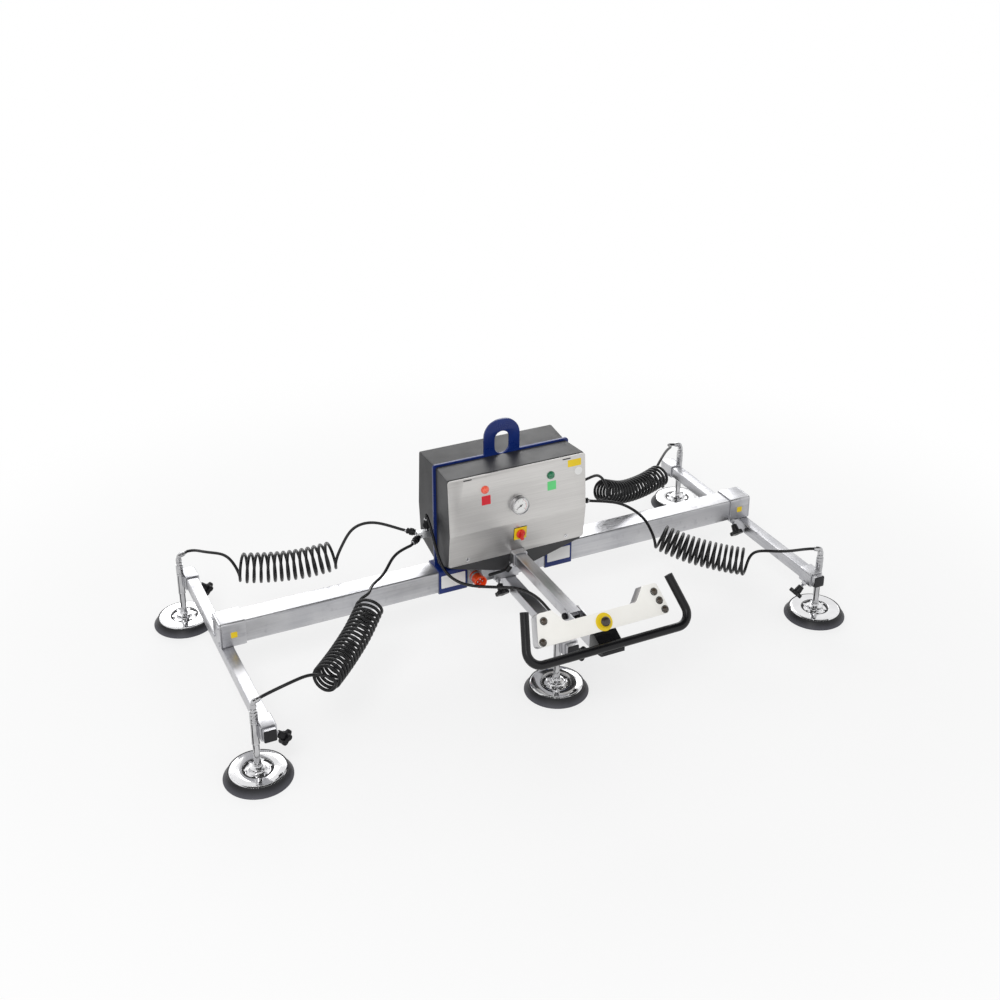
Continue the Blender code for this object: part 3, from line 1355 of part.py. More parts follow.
# Each hose: points after the coupling, the coil's axis and outer radius, and points before the elbow
HOSES = {
    "left_rear": (
        [(-0.420, 0.120, 0.425), (-0.480, 0.150, 0.402), (-0.520, 0.135, 0.365)],
        [(-0.548, 0.160, 0.306), (-0.650, 0.196, 0.282), (-0.750, 0.235, 0.272), (-0.846, 0.274, 0.272)], 0.052,
        [(-0.872, 0.322, 0.300), (-0.925, 0.388, 0.292)],
    ),
    "left_front": (
        [(-0.405, -0.035, 0.378), (-0.462, -0.085, 0.345), (-0.520, -0.128, 0.345)],
        [(-0.545, -0.186, 0.314), (-0.622, -0.268, 0.280), (-0.705, -0.352, 0.264), (-0.786, -0.434, 0.262)], 0.046,
        [(-0.822, -0.424, 0.288), (-0.880, -0.434, 0.288)],
    ),
    "right_rear": (
        [(0.352, 0.024, 0.462), (0.392, 0.040, 0.462), (0.430, 0.055, 0.425)],
        [(0.446, 0.092, 0.360), (0.550, 0.130, 0.312), (0.660, 0.172, 0.292), (0.770, 0.215, 0.293)], 0.043,
        [(0.812, 0.285, 0.312), (0.890, 0.362, 0.305), (0.945, 0.415, 0.286)],
    ),
    "right_front": (
        [(0.400, -0.044, 0.392), (0.440, -0.074, 0.386), (0.478, -0.150, 0.360)],
        [(0.508, -0.202, 0.308), (0.580, -0.272, 0.280), (0.656, -0.342, 0.266), (0.728, -0.412, 0.264)], 0.048,
        [(0.772, -0.398, 0.290), (0.860, -0.438, 0.286)],
    ),
    "centre_front": (
        [
            (-0.268, 0.004, 0.462), (-0.266, -0.018, 0.432), (-0.263, -0.040, 0.385), (-0.260, -0.070, 0.338),
            (-0.251, -0.100, 0.305), (-0.228, -0.130, 0.284), (-0.190, -0.160, 0.273), (-0.112, -0.200, 0.269),
            (-0.048, -0.232, 0.266), (-0.016, -0.300, 0.264),
        ], [], 0.0, [],
    ),
}


def make_hose(name, pad):
    """The hose as one solid, thin along its leads and as wide as its coil between them."""
    beam, side, facing, angle = PADS[pad]
    lead, coil, coil_radius, tail = HOSES[pad]
    elbow, looks = elbow_end(beam, side, facing, angle)
    port = ports[pad]
    away = Vector(COUPLINGS[pad][2]).normalized()
    first = [port + away * FIT, port + away * PORT_LEAD, *[Vector(point) for point in lead]]
    last = [*[Vector(point) for point in tail], elbow + looks * ELBOW_LEAD, elbow + looks * FIT]
    if not coil:
        points = smooth_route(first + last, HOSE_STEP)
        return pipe(name, points, HOSE_RADIUS, resolution=2)
    axis = smooth_route(coil, COIL_STEP)
    entry = axis[0] + (axis[0] - axis[1]).normalized() * COIL_END
    leave = axis[-1] + (axis[-1] - axis[-2]).normalized() * COIL_END
    before = smooth_route(first + [entry], HOSE_STEP)
    after = smooth_route([leave] + last, HOSE_STEP)
    points = before + axis + after
    radii = [HOSE_RADIUS] * len(before) + [coil_radius] * len(axis) + [HOSE_RADIUS] * len(after)
    return pipe(name, points, HOSE_RADIUS, radii, resolution=2)


for pad in PADS:
    place(dress(make_hose(pad + "_hose", pad), HOSE_PLASTIC), machine)


# Mains inlet on the beam's front

beam_front = -BEAM_SIDE / 2 - FIT
inlet = block(
    "mains_inlet",
    (-INLET_FLANGE_WIDTH / 2, beam_front - INLET_FLANGE_THICKNESS, -INLET_FLANGE_HEIGHT / 2),
    (INLET_FLANGE_WIDTH / 2, beam_front, INLET_FLANGE_HEIGHT / 2),
    0.006, "Y",
)
barrel_start = beam_front - INLET_FLANGE_THICKNESS + WELD
barrel = pin("barrel", (0, barrel_start, 0), (0, barrel_start - INLET_LENGTH, 0), INLET_RADIUS, 14)
mouth = pin(
    "mouth", (0, barrel_start - INLET_LENGTH / 2, 0), (0, barrel_start - 2 * INLET_LENGTH, 0),
    INLET_RADIUS - SHELL_WALL, 14,
)
inlet = cut(join(inlet, barrel), mouth)
place(dress(inlet, ORANGE_PLASTIC), machine, (INLET_X, 0.0, BEAM_Z))


# Inside the housing: vacuum pump in front of the plate, vacuum tank behind it

def make_feet(half_length, radius):
    """Two feet behind a barrel that lies along X."""
    feet = []
    for x in (-0.6 * half_length, 0.6 * half_length):
        feet.append(block(
            "foot",
            (x - FOOT_WIDTH / 2, 0.0, -0.7 * radius),
            (x + FOOT_WIDTH / 2, radius + FOOT_HEIGHT, 0.7 * radius),
        ))
    return feet


def make_pump():
    """Motor barrel with a square pump head and two feet bolted to the plate."""
    half = PUMP_LENGTH / 2
    motor = pin("vacuum_pump", (-half, 0, 0), (half, 0, 0), PUMP_RADIUS, 12)
    head = block(
        "head", (half - WELD, -PUMP_RADIUS * 0.9, -PUMP_RADIUS * 0.9),
        (half + PUMP_LENGTH / 3, PUMP_RADIUS * 0.9, PUMP_RADIUS * 0.9), 0.006,
    )
    return join(motor, head, *make_feet(half, PUMP_RADIUS))


def make_tank():
    """Tank along X with domed ends and two feet bolted to the plate."""
    half = TANK_LENGTH / 2
    dome = TANK_RADIUS * 0.35
    tank = turned("vacuum_tank", [
        (0.0, half),
        (0.6 * TANK_RADIUS, half - 0.2 * dome),
        (TANK_RADIUS, half - dome),
        (TANK_RADIUS, dome - half),
        (0.6 * TANK_RADIUS, 0.2 * dome - half),
        (0.0, -half),
    ], 12)
    turn(tank, math.pi / 2, "Y")
    return turn(join(tank, *make_feet(half, TANK_RADIUS)), math.pi, "Z")


plate_face = FRAME_PLATE / 2 + FIT
pump_y = -plate_face - FOOT_HEIGHT - PUMP_RADIUS
tank_y = plate_face + FOOT_HEIGHT + TANK_RADIUS
place(dress(make_pump(), GREY_COAT), machine, (0.0, pump_y, PUMP_Z))
place(dress(make_tank(), GREY_COAT), machine, (0.0, tank_y, TANK_Z))

bpy.context.view_layer.update()
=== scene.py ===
import math

import bmesh
import bpy
from mathutils import Matrix, Vector


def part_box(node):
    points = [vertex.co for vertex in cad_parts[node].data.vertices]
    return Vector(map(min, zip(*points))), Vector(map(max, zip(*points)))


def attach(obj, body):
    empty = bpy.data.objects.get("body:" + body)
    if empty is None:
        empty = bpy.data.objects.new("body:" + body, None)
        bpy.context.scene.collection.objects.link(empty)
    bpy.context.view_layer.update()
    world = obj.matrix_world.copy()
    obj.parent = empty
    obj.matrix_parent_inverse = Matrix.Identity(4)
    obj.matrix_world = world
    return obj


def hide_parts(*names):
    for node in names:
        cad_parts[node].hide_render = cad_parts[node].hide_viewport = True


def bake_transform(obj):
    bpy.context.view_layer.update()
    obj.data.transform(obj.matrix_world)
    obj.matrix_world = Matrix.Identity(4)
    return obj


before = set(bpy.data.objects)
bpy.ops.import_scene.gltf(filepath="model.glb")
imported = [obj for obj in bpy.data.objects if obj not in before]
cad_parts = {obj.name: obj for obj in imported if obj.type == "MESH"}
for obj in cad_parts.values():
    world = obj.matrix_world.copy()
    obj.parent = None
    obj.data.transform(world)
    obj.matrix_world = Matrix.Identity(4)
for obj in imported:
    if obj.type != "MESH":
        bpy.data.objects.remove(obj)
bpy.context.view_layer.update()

# Camera: stands at the front left, above the lifter, and looks down on it.
# Its place, turn and lens were worked out from the beams' parallel edges and the pads' places.
CAMERA_PLACE = Vector((-1.7825, -3.5942, 2.7055))
CAMERA_TURN = math.radians(25.273)
CAMERA_DIP = math.radians(23.312)
CAMERA_LENS = 49.57
CAMERA_SHIFT = (0.0077, -0.1260)


def added(name, data):
    """A new object in the scene."""
    obj = bpy.data.objects.new(name, data)
    bpy.context.scene.collection.objects.link(obj)
    return obj


camera_data = bpy.data.cameras.new("camera")
camera_data.sensor_width = 36.0
camera_data.lens = CAMERA_LENS
camera_data.shift_x, camera_data.shift_y = CAMERA_SHIFT
camera_data.clip_end = 60.0
camera = added("camera", camera_data)
level, drop = math.cos(CAMERA_DIP), math.sin(CAMERA_DIP)
ahead = Vector((math.sin(CAMERA_TURN) * level, math.cos(CAMERA_TURN) * level, -drop))
rightward = Vector((math.cos(CAMERA_TURN), -math.sin(CAMERA_TURN), 0.0))
camera_axes = Matrix((rightward, rightward.cross(ahead), -ahead)).transposed().to_4x4()
camera.matrix_world = Matrix.Translation(CAMERA_PLACE) @ camera_axes
bpy.context.scene.camera = camera
bpy.context.scene.view_settings.view_transform = "Standard"


# Studio: a pale floor under a white room, with one large softbox above the operator's side
# and one behind the lifter, whose light the flat tops of the beams throw back.
FLOOR_REACH = 14.0
FLOOR_COLOUR = (0.86, 0.86, 0.86, 1.0)
FLOOR_GLOW = 0.68
FLOOR_SHADOWS = (1.3, 2.6)
ROOM_FILL = 0.62
FLAG_NEAR = 0.03
FLAG_FAR = 0.17
FLAG_HEIGHT = 0.001

# The side of the lifter in x and y on which each pad stands
PADS = {
    "left_rear": (-1, 1), "left_front": (-1, -1), "right_rear": (1, 1), "right_front": (1, -1),
    "centre_front": (0, -1),
}


class Wire:
    """A socket in a node tree, with sums written on it as nodes."""

    def __init__(self, socket):
        self.socket = socket

    def into(self, socket):
        self.socket.id_data.links.new(self.socket, socket)

    def node(self, kind, settings=None, sockets=None, out=0):
        """Another node of the tree: its settings first, then its sockets' values or links."""
        made = self.socket.id_data.nodes.new(kind)
        for name, value in (settings or {}).items():
            setattr(made, name, value)
        for name, value in (sockets or {}).items():
            if isinstance(value, Wire):
                value.into(made.inputs[name])
            else:
                made.inputs[name].default_value = value
        return Wire(made.outputs[out])

    def maths(self, operation, first, second):
        return self.node("ShaderNodeMath", {"operation": operation}, {0: first, 1: second})

    def __add__(self, other):
        return self.maths("ADD", self, other)

    def __sub__(self, other):
        return self.maths("SUBTRACT", self, other)

    def __rsub__(self, other):
        return self.maths("SUBTRACT", other, self)

    def __mul__(self, other):
        return self.maths("MULTIPLY", self, other)

    __radd__ = __add__
    __rmul__ = __mul__


def room_light(tree):
    """1 for the rays that show the room itself, straight on or in gloss and glass."""
    path = tree.nodes.new("ShaderNodeLightPath")
    seen = Wire(path.outputs["Is Camera Ray"])
    for other in ("Is Glossy Ray", "Is Transmission Ray"):
        seen = seen.maths("MAXIMUM", seen, Wire(path.outputs[other]))
    return seen


world = bpy.data.worlds.new("studio")
bpy.context.scene.world = world
world.use_nodes = True
sky = world.node_tree.nodes["Background"]
sky.inputs["Color"].default_value = (1.0, 1.0, 1.0, 1.0)
(ROOM_FILL + room_light(world.node_tree) * (1.0 - ROOM_FILL)).into(sky.inputs["Strength"])


def flat_sheet(name, low, high, height, material):
    """A level rectangle of one material, such as the floor or a flag."""
    mesh = bpy.data.meshes.new(name)
    corners = [(low[0], low[1]), (high[0], low[1]), (high[0], high[1]), (low[0], high[1])]
    mesh.from_pydata([(x, y, height) for x, y in corners], [], [(0, 1, 2, 3)])
    mesh.materials.append(material)
    obj = added(name, mesh)
    return obj


floor_paint = bpy.data.materials.new("floor_paint")
floor_paint.use_nodes = True
flat_sheet("studio_floor", (-FLOOR_REACH, -FLOOR_REACH), (FLOOR_REACH, FLOOR_REACH), 0.0, floor_paint)
floor_nodes = floor_paint.node_tree.nodes
floor_coat = floor_nodes["Principled BSDF"]
floor_coat.inputs["Base Color"].default_value = FLOOR_COLOUR
floor_coat.inputs["Roughness"].default_value = 0.9
floor_coat.inputs["Specular IOR Level"].default_value = 0.1
floor_shade = Wire(floor_coat.outputs["BSDF"])
floor_white = floor_shade.node("ShaderNodeEmission", sockets={"Strength": 1.0})
floor_place = Wire(floor_nodes.new("ShaderNodeTexCoord").outputs["Object"])
far_off = floor_place.node("ShaderNodeVectorMath", {"operation": "LENGTH"}, {0: floor_place}, out=1)
far_off = far_off.node("ShaderNodeMapRange", {"interpolation_type": "SMOOTHSTEP"}, {
    "Value": far_off, "From Min": FLOOR_SHADOWS[0], "From Max": FLOOR_SHADOWS[1],
})
floor_glow = room_light(floor_paint.node_tree) * (FLOOR_GLOW + far_off * (1.0 - FLOOR_GLOW))
floor_mix = floor_shade.node("ShaderNodeMixShader", sockets={0: floor_glow, 1: floor_shade, 2: floor_white})
floor_mix.into(floor_nodes["Material Output"].inputs["Surface"])


def softbox(name, place, aim, width, height, power):
    """A square lamp with a cloth front, turned to a point."""
    lamp = bpy.data.lights.new(name, "AREA")
    lamp.shape = "RECTANGLE"
    lamp.size, lamp.size_y = width, height
    lamp.energy = power
    obj = added(name, lamp)
    obj.location = place
    obj.rotation_euler = (Vector(aim) - Vector(place)).to_track_quat("-Z", "Y").to_euler()


softbox("front_softbox", (-2.6, -3.4, 4.4), (0.0, 0.1, 0.3), 2.4, 2.4, 120.0)
softbox("rear_softbox", (1.6, 5.4, 3.2), (0.0, 0.1, 0.2), 5.0, 2.6, 130.0)

flag_cloth = bpy.data.materials.new("flag_cloth")
flag_cloth.use_nodes = True
flag_cloth.node_tree.nodes["Principled BSDF"].inputs["Base Color"].default_value = (0.02, 0.02, 0.02, 1.0)


def flag(name, low, high, height):
    """A flat black cloth that only gloss shows: it draws the dark lines in chrome and keeps blacks deep."""
    obj = flat_sheet(name, low, high, height, flag_cloth)
    obj.visible_camera = obj.visible_diffuse = obj.visible_shadow = obj.visible_transmission = False


flag("ceiling_flag", (-2.4, -2.6), (2.4, 0.3), 2.3)
for pad in PADS:
    low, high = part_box(pad + "_lip")
    front, rear = low.y + FLAG_NEAR, high.y - FLAG_NEAR
    flag(pad + "_left_flag", (low.x - FLAG_FAR, front), (low.x - FLAG_NEAR, rear), FLAG_HEIGHT)
    flag(pad + "_right_flag", (high.x + FLAG_NEAR, front), (high.x + FLAG_FAR, rear), FLAG_HEIGHT)


# Vacuum hoses: black polyurethane tube, 10 mm across, wound cold into coils that give with the beams.
# Each runs from a quick coupling on the manifold through its coil to the elbow on its pad's plunger.
HOSE_RADIUS = 0.005
HOSE_SIDES = 14
HOSE_STEP = 0.008
COIL_STEP = 0.010
COIL_POINTS = 26
COUPLING_LENGTH = 0.050
PORT_LEAD = 0.012
ELBOW_LEAD = 0.030
ELBOW_Z = 0.266
ELBOW_REACH = 0.024
ELBOW_YAW = math.radians(22)
PAD_TAIL = 0.080
CENTRE_PAD_TAIL = 0.060
CENTRE_BEND = (0.308, 0.274)
CENTRE_BEND_GAP = 0.002
END_BEAM_X = 0.978
CENTRE_BEAM_X = 0.016
PAD_Y = 0.450
GUIDE_OFFSET = 0.033
RELAX_ROUNDS = 16
RELAX_REACH = 9

# Every shape is drawn from the middle of the main beam, and moved from there to where the solids stand
beam_low, beam_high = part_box("main_beam")
HOME = Vector((0.0, (beam_low.y + beam_high.y) / 2, 0.0))

# Coupling's foot and way on the manifold
COUPLINGS = {
    "left_rear": ((-0.293, 0.0203, 0.402), (-0.75, 0.62, 0.10)),
    "left_front": ((-0.293, 0.0123, 0.398), (-0.80, -0.58, -0.12)),
    "centre_front": ((-0.269, 0.0163, 0.406), (0.0, 0.0, 1.0)),
    "right_rear": ((0.285, 0.0163, 0.406), (0.55, 0.10, 0.83)),
    "right_front": ((0.293, 0.0123, 0.398), (0.86, -0.50, -0.05)),
}
# Lead; axis of the coil; its outer radius, turns, first angle and hand; tail; share of the coil up to the cut
HOSES = {
    "left_rear": (
        [(-0.420, 0.120, 0.425), (-0.480, 0.150, 0.402), (-0.520, 0.135, 0.365)],
        [(-0.548, 0.160, 0.306), (-0.650, 0.196, 0.282), (-0.750, 0.235, 0.272), (-0.846, 0.274, 0.272)],
        (0.052, 14.33, -90.0, -1.0),
        [(-0.872, 0.322, 0.300), (-0.925, 0.388, 0.292)], 0.75,
    ),
    "left_front": (
        [(-0.405, -0.035, 0.378), (-0.462, -0.085, 0.345), (-0.520, -0.128, 0.345)],
        [(-0.545, -0.186, 0.314), (-0.622, -0.268, 0.280), (-0.705, -0.352, 0.264), (-0.786, -0.434, 0.262)],
        (0.046, 19.83, 0.0, 1.0),
        [(-0.822, -0.424, 0.288), (-0.880, -0.434, 0.288)], 1.0,
    ),
    "right_rear": (
        [(0.352, 0.024, 0.462), (0.392, 0.040, 0.462), (0.430, 0.055, 0.425)],
        [(0.446, 0.092, 0.360), (0.550, 0.130, 0.312), (0.660, 0.172, 0.292), (0.770, 0.215, 0.293)],
        (0.043, 19.44, 90.0, 1.0),
        [(0.812, 0.285, 0.312), (0.890, 0.362, 0.305), (0.945, 0.415, 0.286)], 1.0,
    ),
    "right_front": (
        [(0.400, -0.044, 0.392), (0.440, -0.074, 0.386), (0.478, -0.150, 0.360)],
        [(0.508, -0.202, 0.308), (0.580, -0.272, 0.280), (0.656, -0.342, 0.266), (0.728, -0.412, 0.264)],
        (0.048, 15.5, 90.0, 1.0),
        [(0.772, -0.398, 0.290), (0.860, -0.438, 0.286)], 1.0,
    ),
    "centre_front": (
        [
            (-0.268, 0.004, 0.462), (-0.266, -0.018, 0.432), (-0.263, -0.040, 0.385),
            (-0.260, -0.070, 0.338), (-0.251, -0.100, 0.305), (-0.228, -0.130, 0.284),
            (-0.190, -0.160, 0.273), (-0.112, -0.200, 0.269), (-0.048, -0.232, 0.266),
            (-0.016, -0.300, 0.264),
        ],
        [], (), [], 0.0,
    ),
}


def new_finish(name, **constants):
    """A material, the place of its pattern, and its shader with the numbers that stay the same all over."""
    made = bpy.data.materials.new(name)
    made.use_nodes = True
    nodes = made.node_tree.nodes
    shader = nodes["Principled BSDF"]
    for socket, value in constants.items():
        shader.inputs[socket.replace("_", " ")].default_value = value
    return made, Wire(nodes.new("ShaderNodeTexCoord").outputs["Object"]), shader


def grain(place, scale, detail=2.0, stretch=(1.0, 1.0, 1.0)):
    """Soft random grain from 0 to 1, longer along the axes with a small stretch."""
    if stretch != (1.0, 1.0, 1.0):
        place = place.node("ShaderNodeMapping", sockets={"Vector": place, "Scale": stretch})
    return place.node("ShaderNodeTexNoise", sockets={"Vector": place, "Scale": scale, "Detail": detail})


def eased(value, low, high):
    """0 below one level, 1 above the other, and smooth between them."""
    return value.node("ShaderNodeMapRange", {"interpolation_type": "SMOOTHSTEP"}, {
        "Value": value, "From Min": low, "From Max": high,
    })


def mixed(share, first, second):
    """One colour where the share is 0 and the other where it is 1."""
    first, second = [c if isinstance(c, Wire) else (*c, 1.0) for c in (first, second)]
    return share.node("ShaderNodeMix", {"data_type": "RGBA"}, {0: share, 6: first, 7: second}, out=2)


def relief(height, depth):
    """A bump as deep as given, in metres."""
    return height.node("ShaderNodeBump", sockets={"Strength": 1.0, "Distance": depth, "Height": height})


def worn_edges(place, width, amount):
    """1 in patches along the edges, 0 elsewhere: the lighter edges there are a painted highlight, patchy like
    rubbing wear.
    """
    rounded_normal = place.node("ShaderNodeBevel", {"samples": 4}, {"Radius": width})
    normal = place.node("ShaderNodeNewGeometry", out="Normal")
    both = {0: rounded_normal, 1: normal}
    same = place.node("ShaderNodeVectorMath", {"operation": "DOT_PRODUCT"}, both, out=1)
    return eased(1.0 - same, 0.02, 0.30) * eased(grain(place, 45.0, 4.0), 0.62 - amount, 0.72 - amount)


def coated(name, dark, light, roughness, fine, depth, sheen_and_wear_colour=None, edge_lightening=0.0, **constants):
    """Paint, plastic or rubber: its shade drifts, its gloss is uneven, and a fine grain covers it."""
    made, place, shader = new_finish(name, **constants)
    drift = grain(place, 7.0, 3.0)
    specks = grain(place, fine, 2.0)
    smears = eased(grain(place, 16.0, 5.0), 0.35, 0.75)
    colour = mixed(eased(drift, 0.3, 0.7), dark, light)
    gloss = roughness - 0.05 + smears * 0.07 + specks * 0.04
    # Given an edge colour, the edges turn lighter in patches: a painted highlight along the edges, patchy
    # like rubbing wear.
    if sheen_and_wear_colour is not None:
        edges = worn_edges(place, 0.0015, edge_lightening)
        colour = mixed(edges, colour, sheen_and_wear_colour)
        gloss = gloss + edges * 0.1
    colour.into(shader.inputs["Base Color"])
    gloss.into(shader.inputs["Roughness"])
    relief(specks, depth).into(shader.inputs["Normal"])
    return made


HOSE_BLACK = coated(
    "hose_black", (0.005, 0.005, 0.006), (0.010, 0.010, 0.011), 0.27, 320.0, 0.00004,
    Specular_IOR_Level=0.32,
)


def smooth_line(points, step):
    """Points along a smooth curve through the given ones, about one step apart."""
    line = [Vector(point) for point in points]
    ends = [2 * line[0] - line[1], *line, 2 * line[-1] - line[-2]]
    samples = []
    for before, start, end, after in zip(ends, ends[1:], ends[2:], ends[3:]):
        count = max(1, round((end - start).length / step))
        for index in range(count):
            t = index / count
            samples.append(0.5 * (
                2 * start
                + (end - before) * t
                + (2 * before - 5 * start + 4 * end - after) * t ** 2
                + (3 * start - before - 3 * end + after) * t ** 3
            ))
    samples.append(line[-1])
    return samples


def coil_line(axis, radius, turns, first_angle, hand):
    """Points round a coil whose middle follows a line; the angle counts from the top."""
    line = smooth_line(axis, COIL_STEP)
    count = round(turns * COIL_POINTS)
    points = []
    for index in range(count + 1):
        share = index / count
        along = share * (len(line) - 1)
        low = min(int(along), len(line) - 2)
        middle = line[low].lerp(line[low + 1], along - low)
        way = (line[min(low + 2, len(line) - 1)] - line[max(low - 1, 0)]).normalized()
        up = (Vector((0, 0, 1)) - way * way.z).normalized()
        side = way.cross(up)
        angle = math.radians(first_angle) + hand * 2 * math.pi * turns * share
        points.append(middle + radius * (math.cos(angle) * up + math.sin(angle) * side))
    return points


def relaxed(points, freedom):
    """The line with its kinks eased where it is free."""
    for _ in range(RELAX_ROUNDS):
        eased_points = list(points)
        for index in range(1, len(points) - 1):
            if freedom[index]:
                goal = (points[index - 1] + points[index] * 2 + points[index + 1]) / 4
                eased_points[index] = points[index].lerp(goal, freedom[index])
        points = eased_points
    return points


def pad_place(pad):
    """A pad's crossbeam in x, its holder's place in y, and the side that its guide tube is on."""
    hand, row = PADS[pad]
    return (hand * END_BEAM_X if hand else CENTRE_BEAM_X), row * PAD_Y, hand or -1


def rod_place(pad, height=0.0):
    """The middle of a pad's rod."""
    x, y, outboard = pad_place(pad)
    return Vector((x + outboard * GUIDE_OFFSET, y, height))


def elbow_of(pad):
    """Where a pad's elbow ends, and the way that it looks."""
    yaw = {"left": ELBOW_YAW, "right": math.pi - ELBOW_YAW, "centre": math.pi / 2}[pad.split("_")[0]]
    out = Vector((math.cos(yaw), math.sin(yaw), 0.0))
    return rod_place(pad, ELBOW_Z) + out * ELBOW_REACH, out


def hose_line(pad):
    """A hose's middle line, and the points where its coil begins and ends."""
    lead, axis, winding, tail, _ = HOSES[pad]
    foot, way = COUPLINGS[pad]
    way = Vector(way).normalized()
    port = Vector(foot) + way * COUPLING_LENGTH
    elbow, looks = elbow_of(pad)
    first = [port, port + way * PORT_LEAD, *lead]
    last = [*tail, elbow + looks * ELBOW_LEAD, elbow]
    if not axis:
        line = smooth_line(first + last, HOSE_STEP)
        return relaxed(line, [1.0 if 2 < i < len(line) - 3 else 0.0 for i in range(len(line))]), 0, 0
    radius, turns, first_angle, hand = winding
    coil = coil_line(axis, radius - HOSE_RADIUS, turns, first_angle, hand)
    before = smooth_line([*first, coil[0]], HOSE_STEP)[:-1]
    after = smooth_line([coil[-1], *last], HOSE_STEP)[1:]
    line = before + coil + after
    begin, end = len(before), len(before) + len(coil)
    freedom = []
    for index in range(len(line)):
        inside = min(index - begin, end - 1 - index)
        share = 1.0 if inside < 0 else max(0.0, 1.0 - inside / RELAX_REACH)
        freedom.append(share if 2 < index < len(line) - 3 else 0.0)
    return relaxed(line, freedom), begin, end


def new_tree(name, inputs):
    """A Geometry Nodes tree with named inputs, and a wire from each of them."""
    tree = bpy.data.node_groups.new(name, "GeometryNodeTree")
    tree.interface.new_socket("Geometry", in_out="OUTPUT", socket_type="NodeSocketGeometry")
    tree.interface.new_socket("Geometry", in_out="INPUT", socket_type="NodeSocketGeometry")
    for label, kind in inputs.items():
        tree.interface.new_socket(label, in_out="INPUT", socket_type="NodeSocket" + kind)
    entry = tree.nodes.new("NodeGroupInput")
    return tree, {socket.name: Wire(socket) for socket in entry.outputs if socket.name}


def close_tree(tree, shape, material):
    """End a tree in plain faces of one material."""
    plain = shape.node("GeometryNodeRealizeInstances", sockets={"Geometry": shape})
    coloured = shape.node("GeometryNodeSetMaterial", sockets={"Geometry": plain, "Material": material})
    coloured.into(tree.nodes.new("NodeGroupOutput").inputs["Geometry"])
    return tree


def plain_mesh(obj):
    """An object's final shape as a mesh; the object itself is removed."""
    mesh = bpy.data.meshes.new_from_object(obj.evaluated_get(bpy.context.evaluated_depsgraph_get()))
    bpy.data.objects.remove(obj, do_unlink=True)
    return mesh


def grown(tree, points, edges, **sizes):
    """The plain mesh that a tree makes from points and edges."""
    mesh = bpy.data.meshes.new(tree.name)
    mesh.from_pydata(points, edges, [])
    obj = added(tree.name, mesh)
    modifier = obj.modifiers.new(tree.name, "NODES")
    modifier.node_group = tree
    for item in tree.interface.items_tree:
        label = item.name.replace(" ", "_").lower()
        if item.in_out == "INPUT" and label in sizes:
            modifier[item.identifier] = sizes[label]
    return plain_mesh(obj)


def make_tube_tree(name, material):
    """A round tube with closed ends that follows a line of edges."""
    tree, entry = new_tree(name, {"Radius": "Float", "Sides": "Int"})
    line = entry["Geometry"].node("GeometryNodeMeshToCurve", sockets={"Mesh": entry["Geometry"]})
    ring = line.node("GeometryNodeCurvePrimitiveCircle", sockets={
        "Resolution": entry["Sides"], "Radius": entry["Radius"],
    })
    tube = line.node("GeometryNodeCurveToMesh", sockets={
        "Curve": line, "Profile Curve": ring, "Fill Caps": True,
    })
    return close_tree(tree, tube, material)


def tube_along(tree, points, radius, sides):
    """A tube's mesh along points."""
    edges = [(index, index + 1) for index in range(len(points) - 1)]
    return grown(tree, [tuple(point) for point in points], edges, radius=radius, sides=sides)


def built(name, shapes, body, nodes, smooth=35.0):
    """Join shapes, each with its material, into one piece that rides on a body and stands for CAD nodes."""
    bm = bmesh.new()
    materials = []
    for mesh, material in shapes:
        if material not in materials:
            materials.append(material)
        first_face = len(bm.faces)
        bm.from_mesh(mesh)
        bm.faces.ensure_lookup_table()
        for face in bm.faces[first_face:]:
            face.material_index = materials.index(material)
    bmesh.ops.translate(bm, vec=HOME, verts=bm.verts)
    whole = bpy.data.meshes.new(name)
    bm.to_mesh(whole)
    bm.free()
    for material in materials:
        whole.materials.append(material)
    whole.shade_smooth()
    whole.set_sharp_from_angle(angle=math.radians(smooth))
    obj = added(name, whole)
    if body:
        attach(obj, body)
    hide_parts(*nodes)
    return obj


hose_tree = make_tube_tree("hose_tube", HOSE_BLACK)


def hose_piece(name, points, bodies, start, end, node, lay):
    """One stretch of hose along its points; its length is summed along its path."""
    tube = tube_along(hose_tree, points, HOSE_RADIUS, HOSE_SIDES)
    obj = built(name, [(tube, HOSE_BLACK)], None, [node], 60)
    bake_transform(obj)
    path = [point + HOME for point in points]
    length = sum((b - a).length for a, b in zip(path, path[1:]))


for pad, (_, axis, _, _, cut_share) in HOSES.items():
    line, begin, end = hose_line(pad)
    tail_start = len(line) - 1
    tail = 0.0
    while tail < (PAD_TAIL if axis else CENTRE_PAD_TAIL):
        tail += (line[tail_start] - line[tail_start - 1]).length
        tail_start -= 1
    if axis:
        cut = round(begin + (end - begin) * cut_share)
        first_way = (Vector((line[0].x, 0, 0)), Vector((line[cut].x, 0, 0)))
        second_way = (Vector((line[cut].x, 0, 0)), Vector((line[tail_start].x, 0, 0)))
    else:
        cut = next(i for i, point in enumerate(line) if point.z < CENTRE_BEND[1])
        first_way = (Vector((0, 0, CENTRE_BEND[0])), Vector((0, 0, line[cut].z)))
        second_way = (Vector((line[cut].x, 0, 0)), Vector((line[tail_start].x - CENTRE_BEND_GAP, 0, 0)))
    last_way = (line[tail_start] + HOME, line[-1] + HOME)
    beam = pad.split("_")[0] + "_crossbeam"
    node = pad + "_hose"
    lay = "coiled" if axis else "hanging"
    hose_piece(node + "_lead", line[:cut + 1], ("frame", beam), *first_way, node, lay)
    hose_piece(node + "_tail", line[cut:tail_start + 1], (beam, pad + "_holder"), *second_way, node, "loose")
    end_bodies = (pad + "_holder", pad + "_plunger")
    hose_piece(node + "_end", line[tail_start:], end_bodies, *last_way, node, "loose")


# Main beam: bright zinc-plated square steel tube, 80 mm across, that carries everything else.
# A stop plate is bolted to each end with four hexagon screws, so that no sleeve can slide off.
BEAM_Z = 0.2314
BEAM_HALF = 0.995
